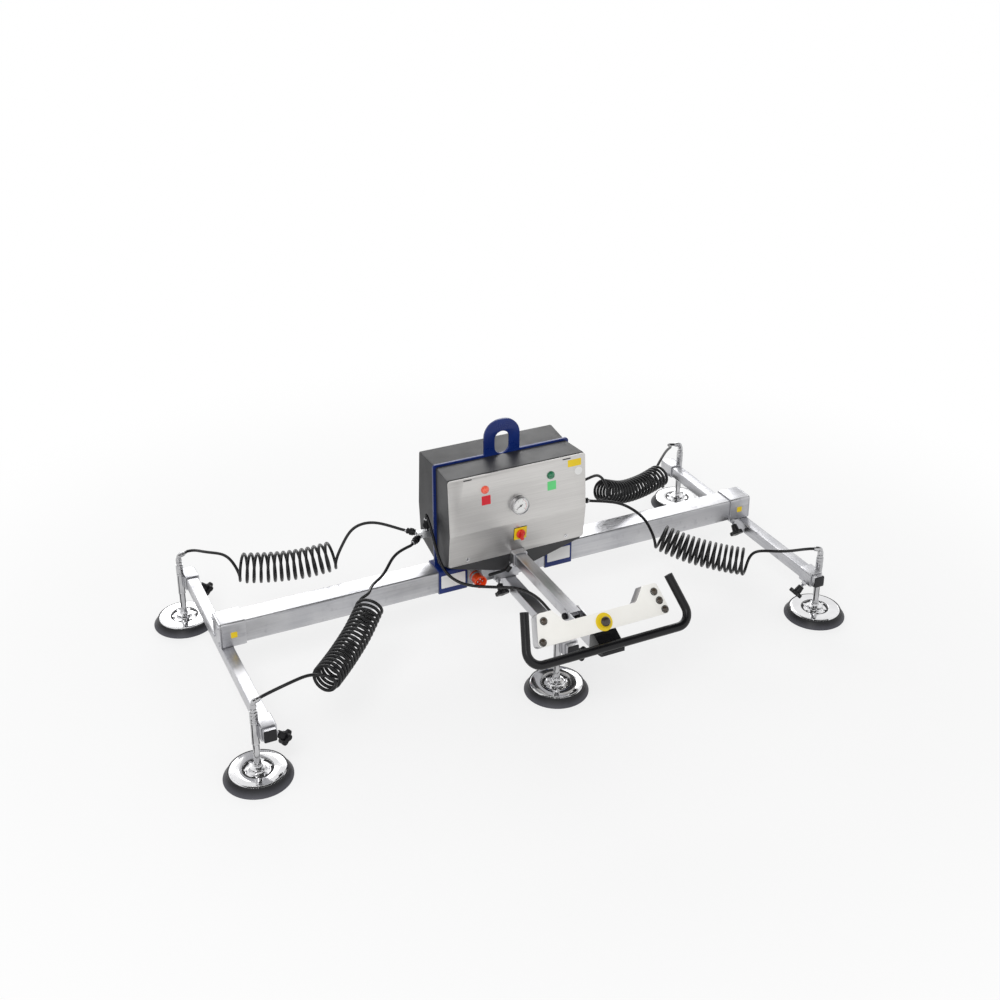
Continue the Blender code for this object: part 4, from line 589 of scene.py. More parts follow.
# Here and below, a square section is its side and the radius of its corners
BEAM = (0.080, 0.006)
BEAM_BORE = (0.072, 0.004)
STOP_PLATE = (0.0882, 0.008)
STOP_PLATE_END = 1.000
STOP_SCREW_PLACE = 0.0312
STOP_SCREW_RADIUS = 0.0066
STOP_SCREW_HEAD = 0.005
PLANES = {
    "XY": Matrix(((1, 0, 0, 0), (0, 1, 0, 0), (0, 0, 1, 0), (0, 0, 0, 1))),
    "XZ": Matrix(((1, 0, 0, 0), (0, 0, 1, 0), (0, 1, 0, 0), (0, 0, 0, 1))),
    "YZ": Matrix(((0, 0, 1, 0), (1, 0, 0, 0), (0, 1, 0, 0), (0, 0, 0, 1))),
}


def zinc_coat(name, axis):
    """Bright zinc: soft clouds in the coat, and draw marks that run along the tube."""
    made, place, shader = new_finish(name, Metallic=1.0)
    along = tuple(0.035 if letter == axis else 1.0 for letter in "XYZ")
    marks = grain(place, 150.0, 3.0, along)
    clouds = grain(place, 6.0, 4.0)
    spots = eased(grain(place, 38.0, 3.0), 0.58, 0.72)
    shade = eased(clouds * 0.65 + marks * 0.35, 0.34, 0.64)
    base = mixed(shade, (0.45, 0.453, 0.475), (0.585, 0.585, 0.60))
    colour = mixed(spots * 0.35, base, (0.37, 0.37, 0.395))
    colour.into(shader.inputs["Base Color"])
    (0.20 + clouds * 0.16 + marks * 0.10 + spots * 0.10).into(shader.inputs["Roughness"])
    relief(marks + clouds * 0.6, 0.00009).into(shader.inputs["Normal"])
    return made


ZINC_ALONG_X = zinc_coat("zinc_along_x", "X")
SCREW_ZINC = zinc_coat("zinc_screws", "Z")


def rounded(corners, radii, steps=6):
    """A polygon with its corners turned into arcs, none longer than its sides allow."""
    points = []
    for index, (corner, radius) in enumerate(zip(corners, radii)):
        here = Vector(corner)
        before = Vector(corners[index - 1]) - here
        after = Vector(corners[(index + 1) % len(corners)]) - here
        half_angle = before.angle(after) / 2
        radius = min(radius, 0.499 * min(before.length, after.length) * math.tan(half_angle))
        if radius < 1e-6 or half_angle > 1.55:
            points.append((here.x, here.y))
            continue
        before.normalize()
        after.normalize()
        centre = here + (before + after).normalized() * radius / math.sin(half_angle)
        start = here + before * radius / math.tan(half_angle) - centre
        sweep = math.copysign(math.pi - 2 * half_angle, after.x * before.y - after.y * before.x)
        for step in range(steps + 1):
            angle = sweep * step / steps
            points.append((
                centre.x + start.x * math.cos(angle) - start.y * math.sin(angle),
                centre.y + start.x * math.sin(angle) + start.y * math.cos(angle),
            ))
    return points


def rectangle(low, high, radius=0.0, steps=6):
    """A rectangle's outline with equal corners."""
    return rounded([low, (high[0], low[1]), high, (low[0], high[1])], [radius] * 4, steps)


def square(side, radius=0.0):
    """A square's outline about its middle, with equal corners."""
    return rectangle((-side / 2, -side / 2), (side / 2, side / 2), radius)


def pressed(loops, low, high, plane="XY", edge=0.0, centre=(0.0, 0.0, 0.0)):
    """Flat outlines, the later ones holes, given a thickness across a plane, with eased rims."""
    curve = bpy.data.curves.new("outline", "CURVE")
    curve.dimensions = "2D"
    curve.fill_mode = "BOTH"
    curve.extrude = (high - low) / 2 - edge
    curve.bevel_depth = edge
    curve.bevel_resolution = 2
    curve.offset = -edge
    for loop in loops:
        spline = curve.splines.new("POLY")
        spline.points.add(len(loop) - 1)
        for point, (across, up) in zip(spline.points, loop):
            point.co = (across, up, 0.0, 1.0)
        spline.use_cyclic_u = True
    mesh = plain_mesh(added("outline", curve))
    bpy.data.curves.remove(curve)
    bm = bmesh.new()
    bm.from_mesh(mesh)
    bmesh.ops.translate(bm, vec=(0.0, 0.0, (low + high) / 2), verts=bm.verts)
    bmesh.ops.transform(bm, matrix=Matrix.Translation(centre) @ PLANES[plane], verts=bm.verts)
    bmesh.ops.remove_doubles(bm, verts=bm.verts, dist=0.00001)
    bmesh.ops.recalc_face_normals(bm, faces=bm.faces)
    bm.to_mesh(mesh)
    bm.free()
    return mesh


def mirrored(half):
    """A whole outline from its right half, closed by the same points on the left in the other order."""
    return half + [(-x, y) for x, y in reversed(half)]


def square_tube(outer, inner, low, high, plane, edge, centre):
    """A square tube between two ends."""
    return pressed([square(*outer), square(*inner)], low, high, plane, edge, centre)


def circle(radius, count, middle=(0.0, 0.0), first=0.0):
    """Points spaced evenly round a circle; the first may be turned by a share of their spacing."""
    angles = [2 * math.pi * (step + first) / count for step in range(count)]
    return [(middle[0] + radius * math.cos(angle), middle[1] + radius * math.sin(angle)) for angle in angles]


def raised(points, height):
    """Flat points at a height."""
    return [(x, y, height) for x, y in points]


def placed(mesh, matrix):
    """A copy of a mesh, moved and turned."""
    copy = mesh.copy()
    copy.transform(matrix)
    return copy


def stood(stand, *shapes):
    """Shapes with their materials, all moved and turned alike."""
    return [(placed(mesh, stand), material) for mesh, material in shapes]


def facing(direction, place=(0.0, 0.0, 0.0)):
    """The place and turn that point a shape's Z along a direction."""
    return Matrix.Translation(place) @ Vector(direction).to_track_quat("Z", "Y").to_matrix().to_4x4()


def make_stack_tree(name, steps, material):
    """Copies on points of round or many-sided steps: sides, foot, top, radius below, radius above.

    Heights and radii of the steps are shares of the tree's own two sizes.
    """
    tree, entry = new_tree(name, {"Radius": "Float", "Height": "Float", "Turn": "Vector"})
    pile = tree.nodes.new("GeometryNodeJoinGeometry")
    for sides, foot, top, below, above in steps:
        cone = entry["Radius"].node("GeometryNodeMeshCone", sockets={
            "Vertices": sides, "Radius Top": entry["Radius"] * above,
            "Radius Bottom": entry["Radius"] * below, "Depth": entry["Height"] * (top - foot),
        })
        lift = cone.node("ShaderNodeCombineXYZ", sockets={"Z": entry["Height"] * foot})
        lifted = cone.node("GeometryNodeTransform", sockets={"Geometry": cone, "Translation": lift})
        lifted.into(pile.inputs[0])
    turn = entry["Turn"].node("FunctionNodeEulerToRotation", sockets={0: entry["Turn"]})
    copies = turn.node("GeometryNodeInstanceOnPoints", sockets={
        "Points": entry["Geometry"], "Instance": Wire(pile.outputs[0]), "Rotation": turn,
    })
    return close_tree(tree, copies, material)


def stack_on(tree, points, direction, radius, height):
    """A tree's copies on points, standing along a direction."""
    turn = tuple(facing(direction).to_euler())
    return grown(tree, [tuple(point) for point in points], [], radius=radius, height=height, turn=turn)


hex_screw_tree = make_stack_tree("hexagon_screws", [
    (28, 0.0, 0.22, 1.15, 1.10), (6, 0.22, 0.85, 0.98, 0.98), (6, 0.85, 1.0, 0.98, 0.82),
], SCREW_ZINC)
beam_middle = (0.0, 0.0, BEAM_Z)
beam_shapes = [(square_tube(BEAM, BEAM_BORE, -BEAM_HALF, BEAM_HALF, "YZ", 0.0, beam_middle), ZINC_ALONG_X)]
for side in (-1, 1):
    inner, outer = sorted((side * (BEAM_HALF - 0.0008), side * STOP_PLATE_END))
    stop_plate = pressed([square(*STOP_PLATE)], inner, outer, "YZ", 0.0008, beam_middle)
    screws = [
        (side * (STOP_PLATE_END - 0.0002), across, BEAM_Z + up)
        for across in (-STOP_SCREW_PLACE, STOP_SCREW_PLACE) for up in (-STOP_SCREW_PLACE, STOP_SCREW_PLACE)
    ]
    heads = stack_on(hex_screw_tree, screws, (side, 0, 0), STOP_SCREW_RADIUS, STOP_SCREW_HEAD)
    beam_shapes += [(stop_plate, SCREW_ZINC), (heads, SCREW_ZINC)]
built("main_beam_tube", beam_shapes, "frame", ["main_beam"])


# Crossbeams: zinc-plated 40 mm square tubes, black plugs in their ends, each welded under a sleeve.
# The sleeves slide along the main beam and carry a weld nut for their clamping knob.
CROSS_Z = 0.167
CROSS = (0.040, 0.004)
CROSS_BORE = (0.034, 0.003)
PLUG = (0.0384, 0.004)
PLUG_LENGTH = 0.003
SLEEVE = (0.0904, 0.008)
SLEEVE_BORE = (0.081, 0.006)
SLEEVE_HALF = SLEEVE[0] / 2
END_SLEEVE = (0.9164, 0.9939)
CENTRE_SLEEVE = (-0.045, 0.045)
END_KNOB_X = 0.9284
CENTRE_KNOB_X = -0.032
SLEEVE_WELD_HALF = 0.019
WELD_STEP = 0.0022
WELD_RIPPLE = 0.00045
WELD_WAVE = 2.1
BEAM_ROWS = {"left": (-0.5, 0.5), "right": (-0.5, 0.5), "centre": (-0.5, 0.06)}
NUT_RADIUS = 0.0095
NUT_HEIGHT = 0.0098
NUT_SINK = 0.0028
PATCH = (0.021, 0.003)
FILM_THICKNESS = 0.0003
ZINC_ALONG_Y = zinc_coat("zinc_along_y", "Y")
PLUG_BLACK = coated(
    "plug_black", (0.008, 0.008, 0.010), (0.014, 0.014, 0.017), 0.42, 420.0, 0.00005, Specular_IOR_Level=0.3,
)
WELD_GREY = coated("weld_grey", (0.34, 0.34, 0.36), (0.50, 0.50, 0.52), 0.38, 240.0, 0.0002, Metallic=1.0)
YELLOW_FILM = coated("yellow_film", (0.80, 0.56, 0.004), (0.86, 0.62, 0.008), 0.32, 300.0, 0.00001)
weld_tree = make_tube_tree("weld_bead", WELD_GREY)


def weld_bead(start, end, radius=0.0024):
    """A fillet weld between two points, with the ripples of its runs."""
    start, end = Vector(start), Vector(end)
    count = max(4, round((end - start).length / WELD_STEP))
    side = (end - start).cross(Vector((0.3, 0.2, 1.0))).normalized()
    points = []
    for index in range(count + 1):
        points.append(start.lerp(end, index / count) + side * WELD_RIPPLE * math.sin(index * WELD_WAVE))
    return tube_along(weld_tree, points, radius, 10)


def edge_reach(side, corner):
    """How far a square section's rounded edge lies from its middle."""
    return side / math.sqrt(2) - corner * (math.sqrt(2) - 1)


nut_tree = make_stack_tree("weld_nuts", [(6, 0.0, 0.88, 1.0, 1.0), (6, 0.88, 1.0, 1.0, 0.86)], SCREW_ZINC)
KNOBS = {}


def clamp_nut(knob, middle, inner, outer, direction):
    """The weld nut on a sleeve's edge; it also notes where the knob's screw ends, and its way."""
    way = Vector(direction).normalized()
    KNOBS[knob] = (Vector(middle) + way * (edge_reach(*inner) + 0.0003), way)
    foot = Vector(middle) + way * (edge_reach(*outer) - NUT_SINK)
    return stack_on(nut_tree, [foot], way, NUT_RADIUS, NUT_HEIGHT)


for side, (front, rear) in BEAM_ROWS.items():
    hand = {"left": -1, "right": 1, "centre": 0}[side]
    x = hand * END_BEAM_X if hand else CENTRE_BEAM_X
    low, high = sorted((hand * END_SLEEVE[0], hand * END_SLEEVE[1])) if hand else CENTRE_SLEEVE
    cross_middle = (x, 0.0, CROSS_Z)
    ends = front + PLUG_LENGTH, rear - PLUG_LENGTH
    cross_tube = square_tube(CROSS, CROSS_BORE, *ends, "XZ", 0.0, cross_middle)
    sleeve = square_tube(SLEEVE, SLEEVE_BORE, low, high, "YZ", 0.0006, beam_middle)
    nut = clamp_nut(
        side + "_sleeve_knob", (hand * END_KNOB_X if hand else CENTRE_KNOB_X, 0.0, BEAM_Z), BEAM, SLEEVE,
        (0.0, 1.0 if side == "left" else -1.0, -1.0),
    )
    shapes = [(cross_tube, ZINC_ALONG_Y), (sleeve, ZINC_ALONG_X), (nut, SCREW_ZINC)]
    for start, end in ((front, front + PLUG_LENGTH + 0.001), (rear - PLUG_LENGTH - 0.001, rear)):
        shapes.append((pressed([square(*PLUG)], start, end, "XZ", 0.0009, cross_middle), PLUG_BLACK))
    weld_low, weld_high = max(x - SLEEVE_WELD_HALF, low + 0.002), min(x + SLEEVE_WELD_HALF, high - 0.002)
    weld_z = CROSS_Z + CROSS[0] / 2 + 0.0002
    for y in (-SLEEVE_HALF, SLEEVE_HALF):
        shapes.append((weld_bead((weld_low, y, weld_z), (weld_high, y, weld_z)), WELD_GREY))
    if hand:
        shapes.append((pressed(
            [square(*PATCH)], -SLEEVE_HALF - FILM_THICKNESS, -SLEEVE_HALF + 0.0001, "XZ", 0.0,
            ((low + high) / 2, 0.0, BEAM_Z),
        ), YELLOW_FILM))
    built(side + "_crossbeam_tube", shapes, side + "_crossbeam", [side + "_crossbeam"])


# Pad holders: zinc-plated square sleeves on the crossbeams, each with a polished guide tube beside it.
# The guide tube is welded to the sleeve's side, and a weld nut for the clamping knob sits below.
HOLDER = (0.0504, 0.006)
HOLDER_BORE = (0.041, 0.004)
HOLDER_HALF = 0.030
GUIDE_RADIUS = 0.0125
GUIDE_BORE = 0.011
GUIDE_FOOT = 0.119
GUIDE_TOP = 0.198
SEAM_HALF_GAP = 0.0112
SEAM_HALF_LENGTH = 0.021


def polished(name, dark, light):
    """Polished metal with faint wiping smears in its shade and gloss."""
    made, place, shader = new_finish(name, Metallic=1.0)
    smears = eased(grain(place, 22.0, 5.0), 0.35, 0.75)
    fine = grain(place, 260.0, 2.0)
    mixed(smears, dark, light).into(shader.inputs["Base Color"])
    (0.05 + smears * 0.05 + fine * 0.03).into(shader.inputs["Roughness"])
    relief(fine, 0.000004).into(shader.inputs["Normal"])
    return made


# Two copies of the same chrome. The second is darker: painted shade for the darker reflections shown by the
# round rods, tubes and small fittings.
CHROME = polished("chrome", (0.76, 0.76, 0.77), (0.86, 0.86, 0.87))
SHADED_CHROME = polished("polished_steel", (0.44, 0.44, 0.45), (0.58, 0.58, 0.59))


def turned(corners, edge=0.0004, segments=48, ring=False):
    """Turn a profile of (radius, height) corners about Z, its corners eased; a ring's profile is closed."""
    radii = [edge] * len(corners)
    if not ring:
        radii[0] = radii[-1] = 0.0
    profile = rounded(corners, radii, 3)
    bm = bmesh.new()
    rim = [bm.verts.new((radius, 0.0, height)) for radius, height in profile]
    edges = [bm.edges.new(pair) for pair in zip(rim, rim[1:])]
    if ring:
        edges.append(bm.edges.new((rim[-1], rim[0])))
    bmesh.ops.spin(
        bm, geom=[*rim, *edges], axis=(0, 0, 1), cent=(0, 0, 0), angle=2 * math.pi, steps=segments,
        use_merge=True,
    )
    bmesh.ops.remove_doubles(bm, verts=bm.verts, dist=0.000002)
    bmesh.ops.recalc_face_normals(bm, faces=bm.faces)
    mesh = bpy.data.meshes.new("turned")
    bm.to_mesh(mesh)
    bm.free()
    return mesh


guide = turned([
    (GUIDE_BORE, GUIDE_FOOT), (GUIDE_RADIUS, GUIDE_FOOT), (GUIDE_RADIUS, GUIDE_FOOT + 0.004),
    (GUIDE_RADIUS - 0.0005, GUIDE_FOOT + 0.0046), (GUIDE_RADIUS - 0.0005, GUIDE_TOP - 0.0066),
    (GUIDE_RADIUS, GUIDE_TOP - 0.006), (GUIDE_RADIUS, GUIDE_TOP), (GUIDE_BORE, GUIDE_TOP),
], ring=True)
for pad in PADS:
    x, y, outboard = pad_place(pad)
    ends = y - HOLDER_HALF, y + HOLDER_HALF
    sleeve = square_tube(HOLDER, HOLDER_BORE, *ends, "XZ", 0.0006, (x, 0.0, CROSS_Z))
    nut = clamp_nut(pad + "_knob", (x, y, CROSS_Z), CROSS, HOLDER, (-outboard, 0.0, -1.0))
    guide_stand = Matrix.Translation(rod_place(pad))
    shapes = [(sleeve, ZINC_ALONG_Y), (placed(guide, guide_stand), SHADED_CHROME), (nut, SCREW_ZINC)]
    seam_x = x + outboard * (HOLDER[0] / 2 + 0.0008)
    for seam_y in (y - SEAM_HALF_GAP, y + SEAM_HALF_GAP):
        ends = [(seam_x, seam_y, CROSS_Z + up) for up in (-SEAM_HALF_LENGTH, SEAM_HALF_LENGTH)]
        shapes.append((weld_bead(*ends), WELD_GREY))
    built(pad + "_holder_sleeve", shapes, pad + "_holder", [pad + "_holder"])


# Star knobs: black moulded grips with five lobes, pressed on a zinc-plated screw.
# They screw into the weld nuts of the sleeves and holders and clamp them where they stand.
KNOB_SCREW_RADIUS = 0.005
KNOB_SCREW_LENGTH = 0.022
KNOB_HUB_RADIUS = 0.0125
KNOB_GRIP_LOW = 0.046
KNOB_GRIP_TOP = 0.060
KNOB_RADIUS = 0.0255
KNOB_LOBES = 5
KNOB_LOBE_DEPTH = 0.0055
KNOB_RIM_STEPS = 80
THREADS = 14
THREAD_PITCH = 0.0015
THREAD_ROOT = 0.0043
KNOB_BLACK = coated(
    "knob_black", (0.005, 0.005, 0.006), (0.010, 0.010, 0.011), 0.36, 260.0, 0.00008, Specular_IOR_Level=0.25,
)

lobes = []
for step in range(KNOB_RIM_STEPS):
    angle = 2 * math.pi * step / KNOB_RIM_STEPS
    dip = (1 - math.cos(KNOB_LOBES * angle)) / 2
    radius = KNOB_RADIUS - 0.0004 - KNOB_LOBE_DEPTH * dip ** 1.5
    lobes.append((radius * math.cos(angle), radius * math.sin(angle)))
knob_grip = pressed([lobes], KNOB_GRIP_LOW, KNOB_GRIP_TOP, "XY", 0.0034)
hub_top = KNOB_GRIP_TOP - 0.001
hub_foot = KNOB_HUB_RADIUS * 0.86
knob_hub = turned([
    (0.0, hub_top), (KNOB_HUB_RADIUS * 0.75, hub_top), (KNOB_HUB_RADIUS, KNOB_GRIP_LOW),
    (KNOB_HUB_RADIUS, KNOB_GRIP_LOW - 0.006), (hub_foot, KNOB_SCREW_LENGTH + 0.003),
    (hub_foot, KNOB_SCREW_LENGTH), (0.0, KNOB_SCREW_LENGTH),
], 0.0012, 40)
knob_cap = turned([
    (0.0, KNOB_GRIP_TOP), (0.010, KNOB_GRIP_TOP), (0.0114, KNOB_GRIP_TOP - 0.0022),
], 0.0008, 36)
thread = [(0.0, 0.0), (THREAD_ROOT, 0.0)]
for step in range(THREADS):
    thread.append((KNOB_SCREW_RADIUS, 0.001 + step * THREAD_PITCH))
    thread.append((THREAD_ROOT, 0.00175 + step * THREAD_PITCH))
thread += [(THREAD_ROOT, KNOB_SCREW_LENGTH + 0.001), (0.0, KNOB_SCREW_LENGTH + 0.001)]
knob_screw = turned(thread, 0.0, 20)
knob_shapes = [(shape, KNOB_BLACK) for shape in (knob_grip, knob_hub, knob_cap)] + [(knob_screw, SCREW_ZINC)]
for knob, (tip, way) in KNOBS.items():
    built(knob + "_grip", stood(facing(way, tip), *knob_shapes), knob, [knob])


# Spring plungers: a chromed steel pad plate with its hub, on a polished rod that slides in the guide tube.
# A stop collar, a hexagon nut and a turning elbow for the hose sit on top of the rod.
PLATE_RADIUS = 0.0865
PLATE_TOP = 0.030
PLATE_FOOT = 0.0145
RECESS_RADIUS = 0.048
RECESS_FLOOR = 0.025
HUB_RADIUS = 0.025
HUB_TOP = 0.039
ROD_RADIUS = 0.0105
COLLAR_RADIUS = 0.0125
COLLAR_GROOVE = 0.0118
COLLAR_TOP = 0.231
NUT_TOP = 0.255
BEND_RADIUS = 0.006
BEND_STEPS = 8
HUB_SCREW_CIRCLE = 0.0365
SHADE_RING_INNER = 0.0395

pad_plate = turned([
    (0.0, HUB_TOP + 0.009), (0.014, HUB_TOP + 0.009), (0.014, HUB_TOP + 0.0018), (0.0165, HUB_TOP),
    (HUB_RADIUS - 0.0016, HUB_TOP), (HUB_RADIUS, HUB_TOP - 0.0016), (HUB_RADIUS, RECESS_FLOOR + 0.0035),
    (0.0285, RECESS_FLOOR), (RECESS_RADIUS - 0.0015, RECESS_FLOOR), (RECESS_RADIUS, RECESS_FLOOR + 0.0015),
    (RECESS_RADIUS, PLATE_TOP), (0.0818, PLATE_TOP), (0.0821, PLATE_TOP - 0.0018),
    (0.0829, PLATE_TOP - 0.0018), (0.0831, PLATE_TOP - 0.0008), (PLATE_RADIUS, PLATE_TOP - 0.0030),
    (PLATE_RADIUS, PLATE_FOOT), (0.006, PLATE_FOOT), (0.006, PLATE_FOOT + 0.004), (0.0, PLATE_FOOT + 0.004),
], 0.0006, 96)
rod = turned([
    (0.0, COLLAR_TOP + 0.001), (COLLAR_GROOVE, COLLAR_TOP + 0.001), (COLLAR_RADIUS, COLLAR_TOP - 0.001),
    (COLLAR_RADIUS, 0.2215), (COLLAR_GROOVE, 0.2208), (COLLAR_GROOVE, 0.2192), (COLLAR_RADIUS, 0.2185),
    (COLLAR_RADIUS, 0.2065), (COLLAR_GROOVE, 0.2058), (COLLAR_GROOVE, 0.2040), (COLLAR_RADIUS, 0.2033),
    (COLLAR_RADIUS, GUIDE_TOP + 0.0004), (ROD_RADIUS, GUIDE_TOP + 0.0003), (ROD_RADIUS, 0.0525),
    (COLLAR_RADIUS, 0.0515), (COLLAR_RADIUS, HUB_TOP), (0.0, HUB_TOP),
], 0.0004, 44)
nut_outline = rounded(circle(0.0115, 6), [0.0008] * 6, 2)
rod_nut = pressed([nut_outline], COLLAR_TOP, COLLAR_TOP + 0.0115, "XY", 0.0007)
rod_neck = turned([
    (0.0, NUT_TOP + 0.004), (0.0075, NUT_TOP + 0.004), (0.0092, NUT_TOP + 0.001), (0.0104, NUT_TOP - 0.004),
    (0.0104, NUT_TOP - 0.0095), (0.0088, NUT_TOP - 0.0105), (0.0088, COLLAR_TOP + 0.008),
    (0.0, COLLAR_TOP + 0.008),
], 0.0008, 36)
elbow_bend = [(0.0, 0.0, NUT_TOP - 0.002), (0.0, 0.0, ELBOW_Z - BEND_RADIUS)]
for step in range(1, BEND_STEPS):
    angle = math.pi / 2 * step / BEND_STEPS
    across, below = BEND_RADIUS * (1 - math.cos(angle)), BEND_RADIUS * (1 - math.sin(angle))
    elbow_bend.append((across, 0.0, ELBOW_Z - below))
elbow_bend += [(BEND_RADIUS, 0.0, ELBOW_Z), (0.020, 0.0, ELBOW_Z)]
chrome_tube_tree = make_tube_tree("elbow_tube", CHROME)
elbow_tube = tube_along(chrome_tube_tree, elbow_bend, 0.0072, 24)
elbow_collet = placed(turned([
    (0.0052, 0.0245), (0.0070, 0.0245), (0.0078, 0.0235), (0.0078, 0.0200), (0.0088, 0.0190),
    (0.0088, 0.0085), (0.0078, 0.0075), (0.0052, 0.0075),
], 0.0005, 30, ring=True), facing((1, 0, 0), (0.0, 0.0, ELBOW_Z)))
cap_screw_tree = make_stack_tree("cap_screws", [
    (20, 0.0, 0.9, 1.0, 1.0), (20, 0.9, 1.0, 1.0, 0.88), (6, 1.0, 1.02, 0.5, 0.5),
], CHROME)
screw_places = raised(circle(HUB_SCREW_CIRCLE, 6, first=0.5), RECESS_FLOOR - 0.0003)
hub_screws = stack_on(cap_screw_tree, screw_places, (0, 0, 1), 0.0052, 0.0062)
# A thin black ring on the recess floor round the hub: painted shade for the dark recess.
shade_ring_outer = RECESS_RADIUS - 0.0005
recess_shade_ring = turned([
    (SHADE_RING_INNER, RECESS_FLOOR - 0.0004), (SHADE_RING_INNER, RECESS_FLOOR + 0.0010),
    (shade_ring_outer, RECESS_FLOOR + 0.0010), (shade_ring_outer, RECESS_FLOOR - 0.0004),
], 0.0003, 72, ring=True)
plunger_shapes = [(pad_plate, CHROME), (hub_screws, CHROME), (recess_shade_ring, KNOB_BLACK)]
plunger_shapes += [(shape, SHADED_CHROME) for shape in (rod, rod_nut, rod_neck, elbow_tube, elbow_collet)]
for pad in PADS:
    looks = elbow_of(pad)[1]
    stand = Matrix.Translation(rod_place(pad)) @ Matrix.Rotation(math.atan2(looks.y, looks.x), 4, "Z")
    shapes = stood(stand, *plunger_shapes)
    built(pad + "_plunger_rod", shapes, pad + "_plunger", [pad + "_plunger"], 40)


# Suction lips: black rubber rings vulcanised round the pad plates, which seal on the sheet.
# Their flank slopes out to a thin edge, and the ceiling inside carries ribs that keep the sheet off it.
LIP_RADIUS = 0.105
LIP_TOP = 0.0275


def lip_rubber():
    """Moulded rubber, black above and greyer towards its bottom edge."""
    made, place, shader = new_finish("lip_rubber", Specular_IOR_Level=0.3)
    height = place.node("ShaderNodeSeparateXYZ", sockets={0: place}, out=2)
    height_jitter = grain(place, 26.0, 4.0)
    specks = grain(place, 180.0)
    # The lower the rubber stands, the greyer it is, with a ragged limit between black and grey.
    edge_lightening = 1.0 - eased(height + height_jitter * 0.006, 0.004, 0.026)
    mixed(edge_lightening, (0.010, 0.010, 0.012), (0.075, 0.075, 0.088)).into(shader.inputs["Base Color"])
    (0.38 + edge_lightening * 0.10 + specks * 0.05).into(shader.inputs["Roughness"])
    relief(specks, 0.00012).into(shader.inputs["Normal"])
    return made


LIP_RUBBER = lip_rubber()
lip_ring = turned([
    (0.0868, 0.0142), (0.0868, LIP_TOP - 0.0012), (0.0874, LIP_TOP), (0.0896, LIP_TOP),
    (0.0906, LIP_TOP - 0.0016), (0.0914, 0.0225), (0.1030, 0.0050), (LIP_RADIUS, 0.0030),
    (LIP_RADIUS, 0.0002), (0.0992, 0.0), (0.0965, 0.0042), (0.0890, 0.0092), (0.0840, 0.0100),
    (0.0815, 0.0075), (0.0790, 0.0100), (0.0740, 0.0100), (0.0715, 0.0075), (0.0690, 0.0100),
    (0.0600, 0.0100), (0.0600, 0.0142),
], 0.0009, 96, ring=True)
for pad in PADS:
    lip = placed(lip_ring, Matrix.Translation(rod_place(pad)))
    built(pad + "_lip_ring", [(lip, LIP_RUBBER)], pad + "_plunger", [pad + "_lip"], 50)


# Lifting frame: 10 mm steel plate with the lifting eye, welded on two saddles round the main beam.
# It is powder-coated blue. In it sits the zinc-plated socket of the operator arm, of the same tube as the
# sleeves of the pad holders.
FRAME_HALF_WIDTH = 0.250
FRAME_HALF_PLATE = 0.005
FRAME_TOP = 0.655
SADDLES = ((-0.251, -0.149), (0.149, 0.251))
SADDLE_BORE = (0.0806, 0.006)
LUG_HALF_WIDTH = 0.065
LUG_TOP = 0.774
EYE_LOW, EYE_HIGH, EYE_HALF_WIDTH = 0.649, 0.731, 0.027
SOCKET_FRONT = -0.150
ARM = (0.040, 0.004)
ARM_Z = 0.320
CLAMP_Y = -0.133
FRAME_LABELS = (-0.200, 0.200)
LABEL_HALF_WIDTH = 0.044
LABEL_LOW, LABEL_HIGH = 0.2095, 0.2575
BEAD_STEPS = 40
# The light lavender edge colour of the blue paint is a painted highlight along the plate's edges.
BLUE_PAINT = coated(
    "blue_paint", (0.003, 0.016, 0.125), (0.005, 0.026, 0.175), 0.30, 240.0, 0.00009,
    (0.16, 0.19, 0.36), 0.02, Specular_IOR_Level=0.3, Coat_Weight=0.12, Coat_Roughness=0.10,
)
WHITE_FILM = coated("white_film", (0.76, 0.76, 0.75), (0.84, 0.84, 0.83), 0.35, 300.0, 0.00001)

saddle_top = BEAM_Z + SLEEVE_HALF
plate_foot = saddle_top - 0.0008
arch = SADDLES[1][0]
frame_half = [
    (arch, saddle_top + 0.009), (arch, plate_foot), (FRAME_HALF_WIDTH, plate_foot),
    (FRAME_HALF_WIDTH, FRAME_TOP), (LUG_HALF_WIDTH, FRAME_TOP), (LUG_HALF_WIDTH, LUG_TOP),
]
half_radii = [0, 0, 0, 0.010, 0.003, LUG_HALF_WIDTH]
frame_outline = rounded(mirrored(frame_half), half_radii + half_radii[::-1], 16)
eye = rectangle((-EYE_HALF_WIDTH, EYE_LOW), (EYE_HALF_WIDTH, EYE_HIGH), EYE_HALF_WIDTH, 14)
arm_passage = [(x, ARM_Z + z) for x, z in square(*HOLDER_BORE)]
frame_shapes = [pressed([frame_outline, eye, arm_passage], -FRAME_HALF_PLATE, FRAME_HALF_PLATE, "XZ", 0.0012)]
blue_bead_tree = make_tube_tree("painted_weld", BLUE_PAINT)
for low, high in SADDLES:
    frame_shapes.append(square_tube(SLEEVE, SADDLE_BORE, low, high, "YZ", 0.0006, beam_middle))
    for y in (-FRAME_HALF_PLATE, FRAME_HALF_PLATE):
        bead = []
        for step in range(BEAD_STEPS + 1):
            x = low + 0.004 + (high - low - 0.008) * step / BEAD_STEPS
            bead.append((x, y, saddle_top + 0.0004 * math.sin(step * WELD_WAVE)))
        frame_shapes.append(tube_along(blue_bead_tree, bead, 0.0026, 10))
frame_pieces = [(shape, BLUE_PAINT) for shape in frame_shapes]
arm_middle = (0.0, 0.0, ARM_Z)
socket_rear = 0.0005 - FRAME_HALF_PLATE
arm_socket = square_tube(HOLDER, HOLDER_BORE, SOCKET_FRONT, socket_rear, "XZ", 0.0006, arm_middle)
socket_nut = clamp_nut("arm_clamp", (0.0, CLAMP_Y, ARM_Z), ARM, HOLDER, (-1.0, 0.0, -1.0))
frame_pieces += [(arm_socket, ZINC_ALONG_Y), (socket_nut, SCREW_ZINC)]
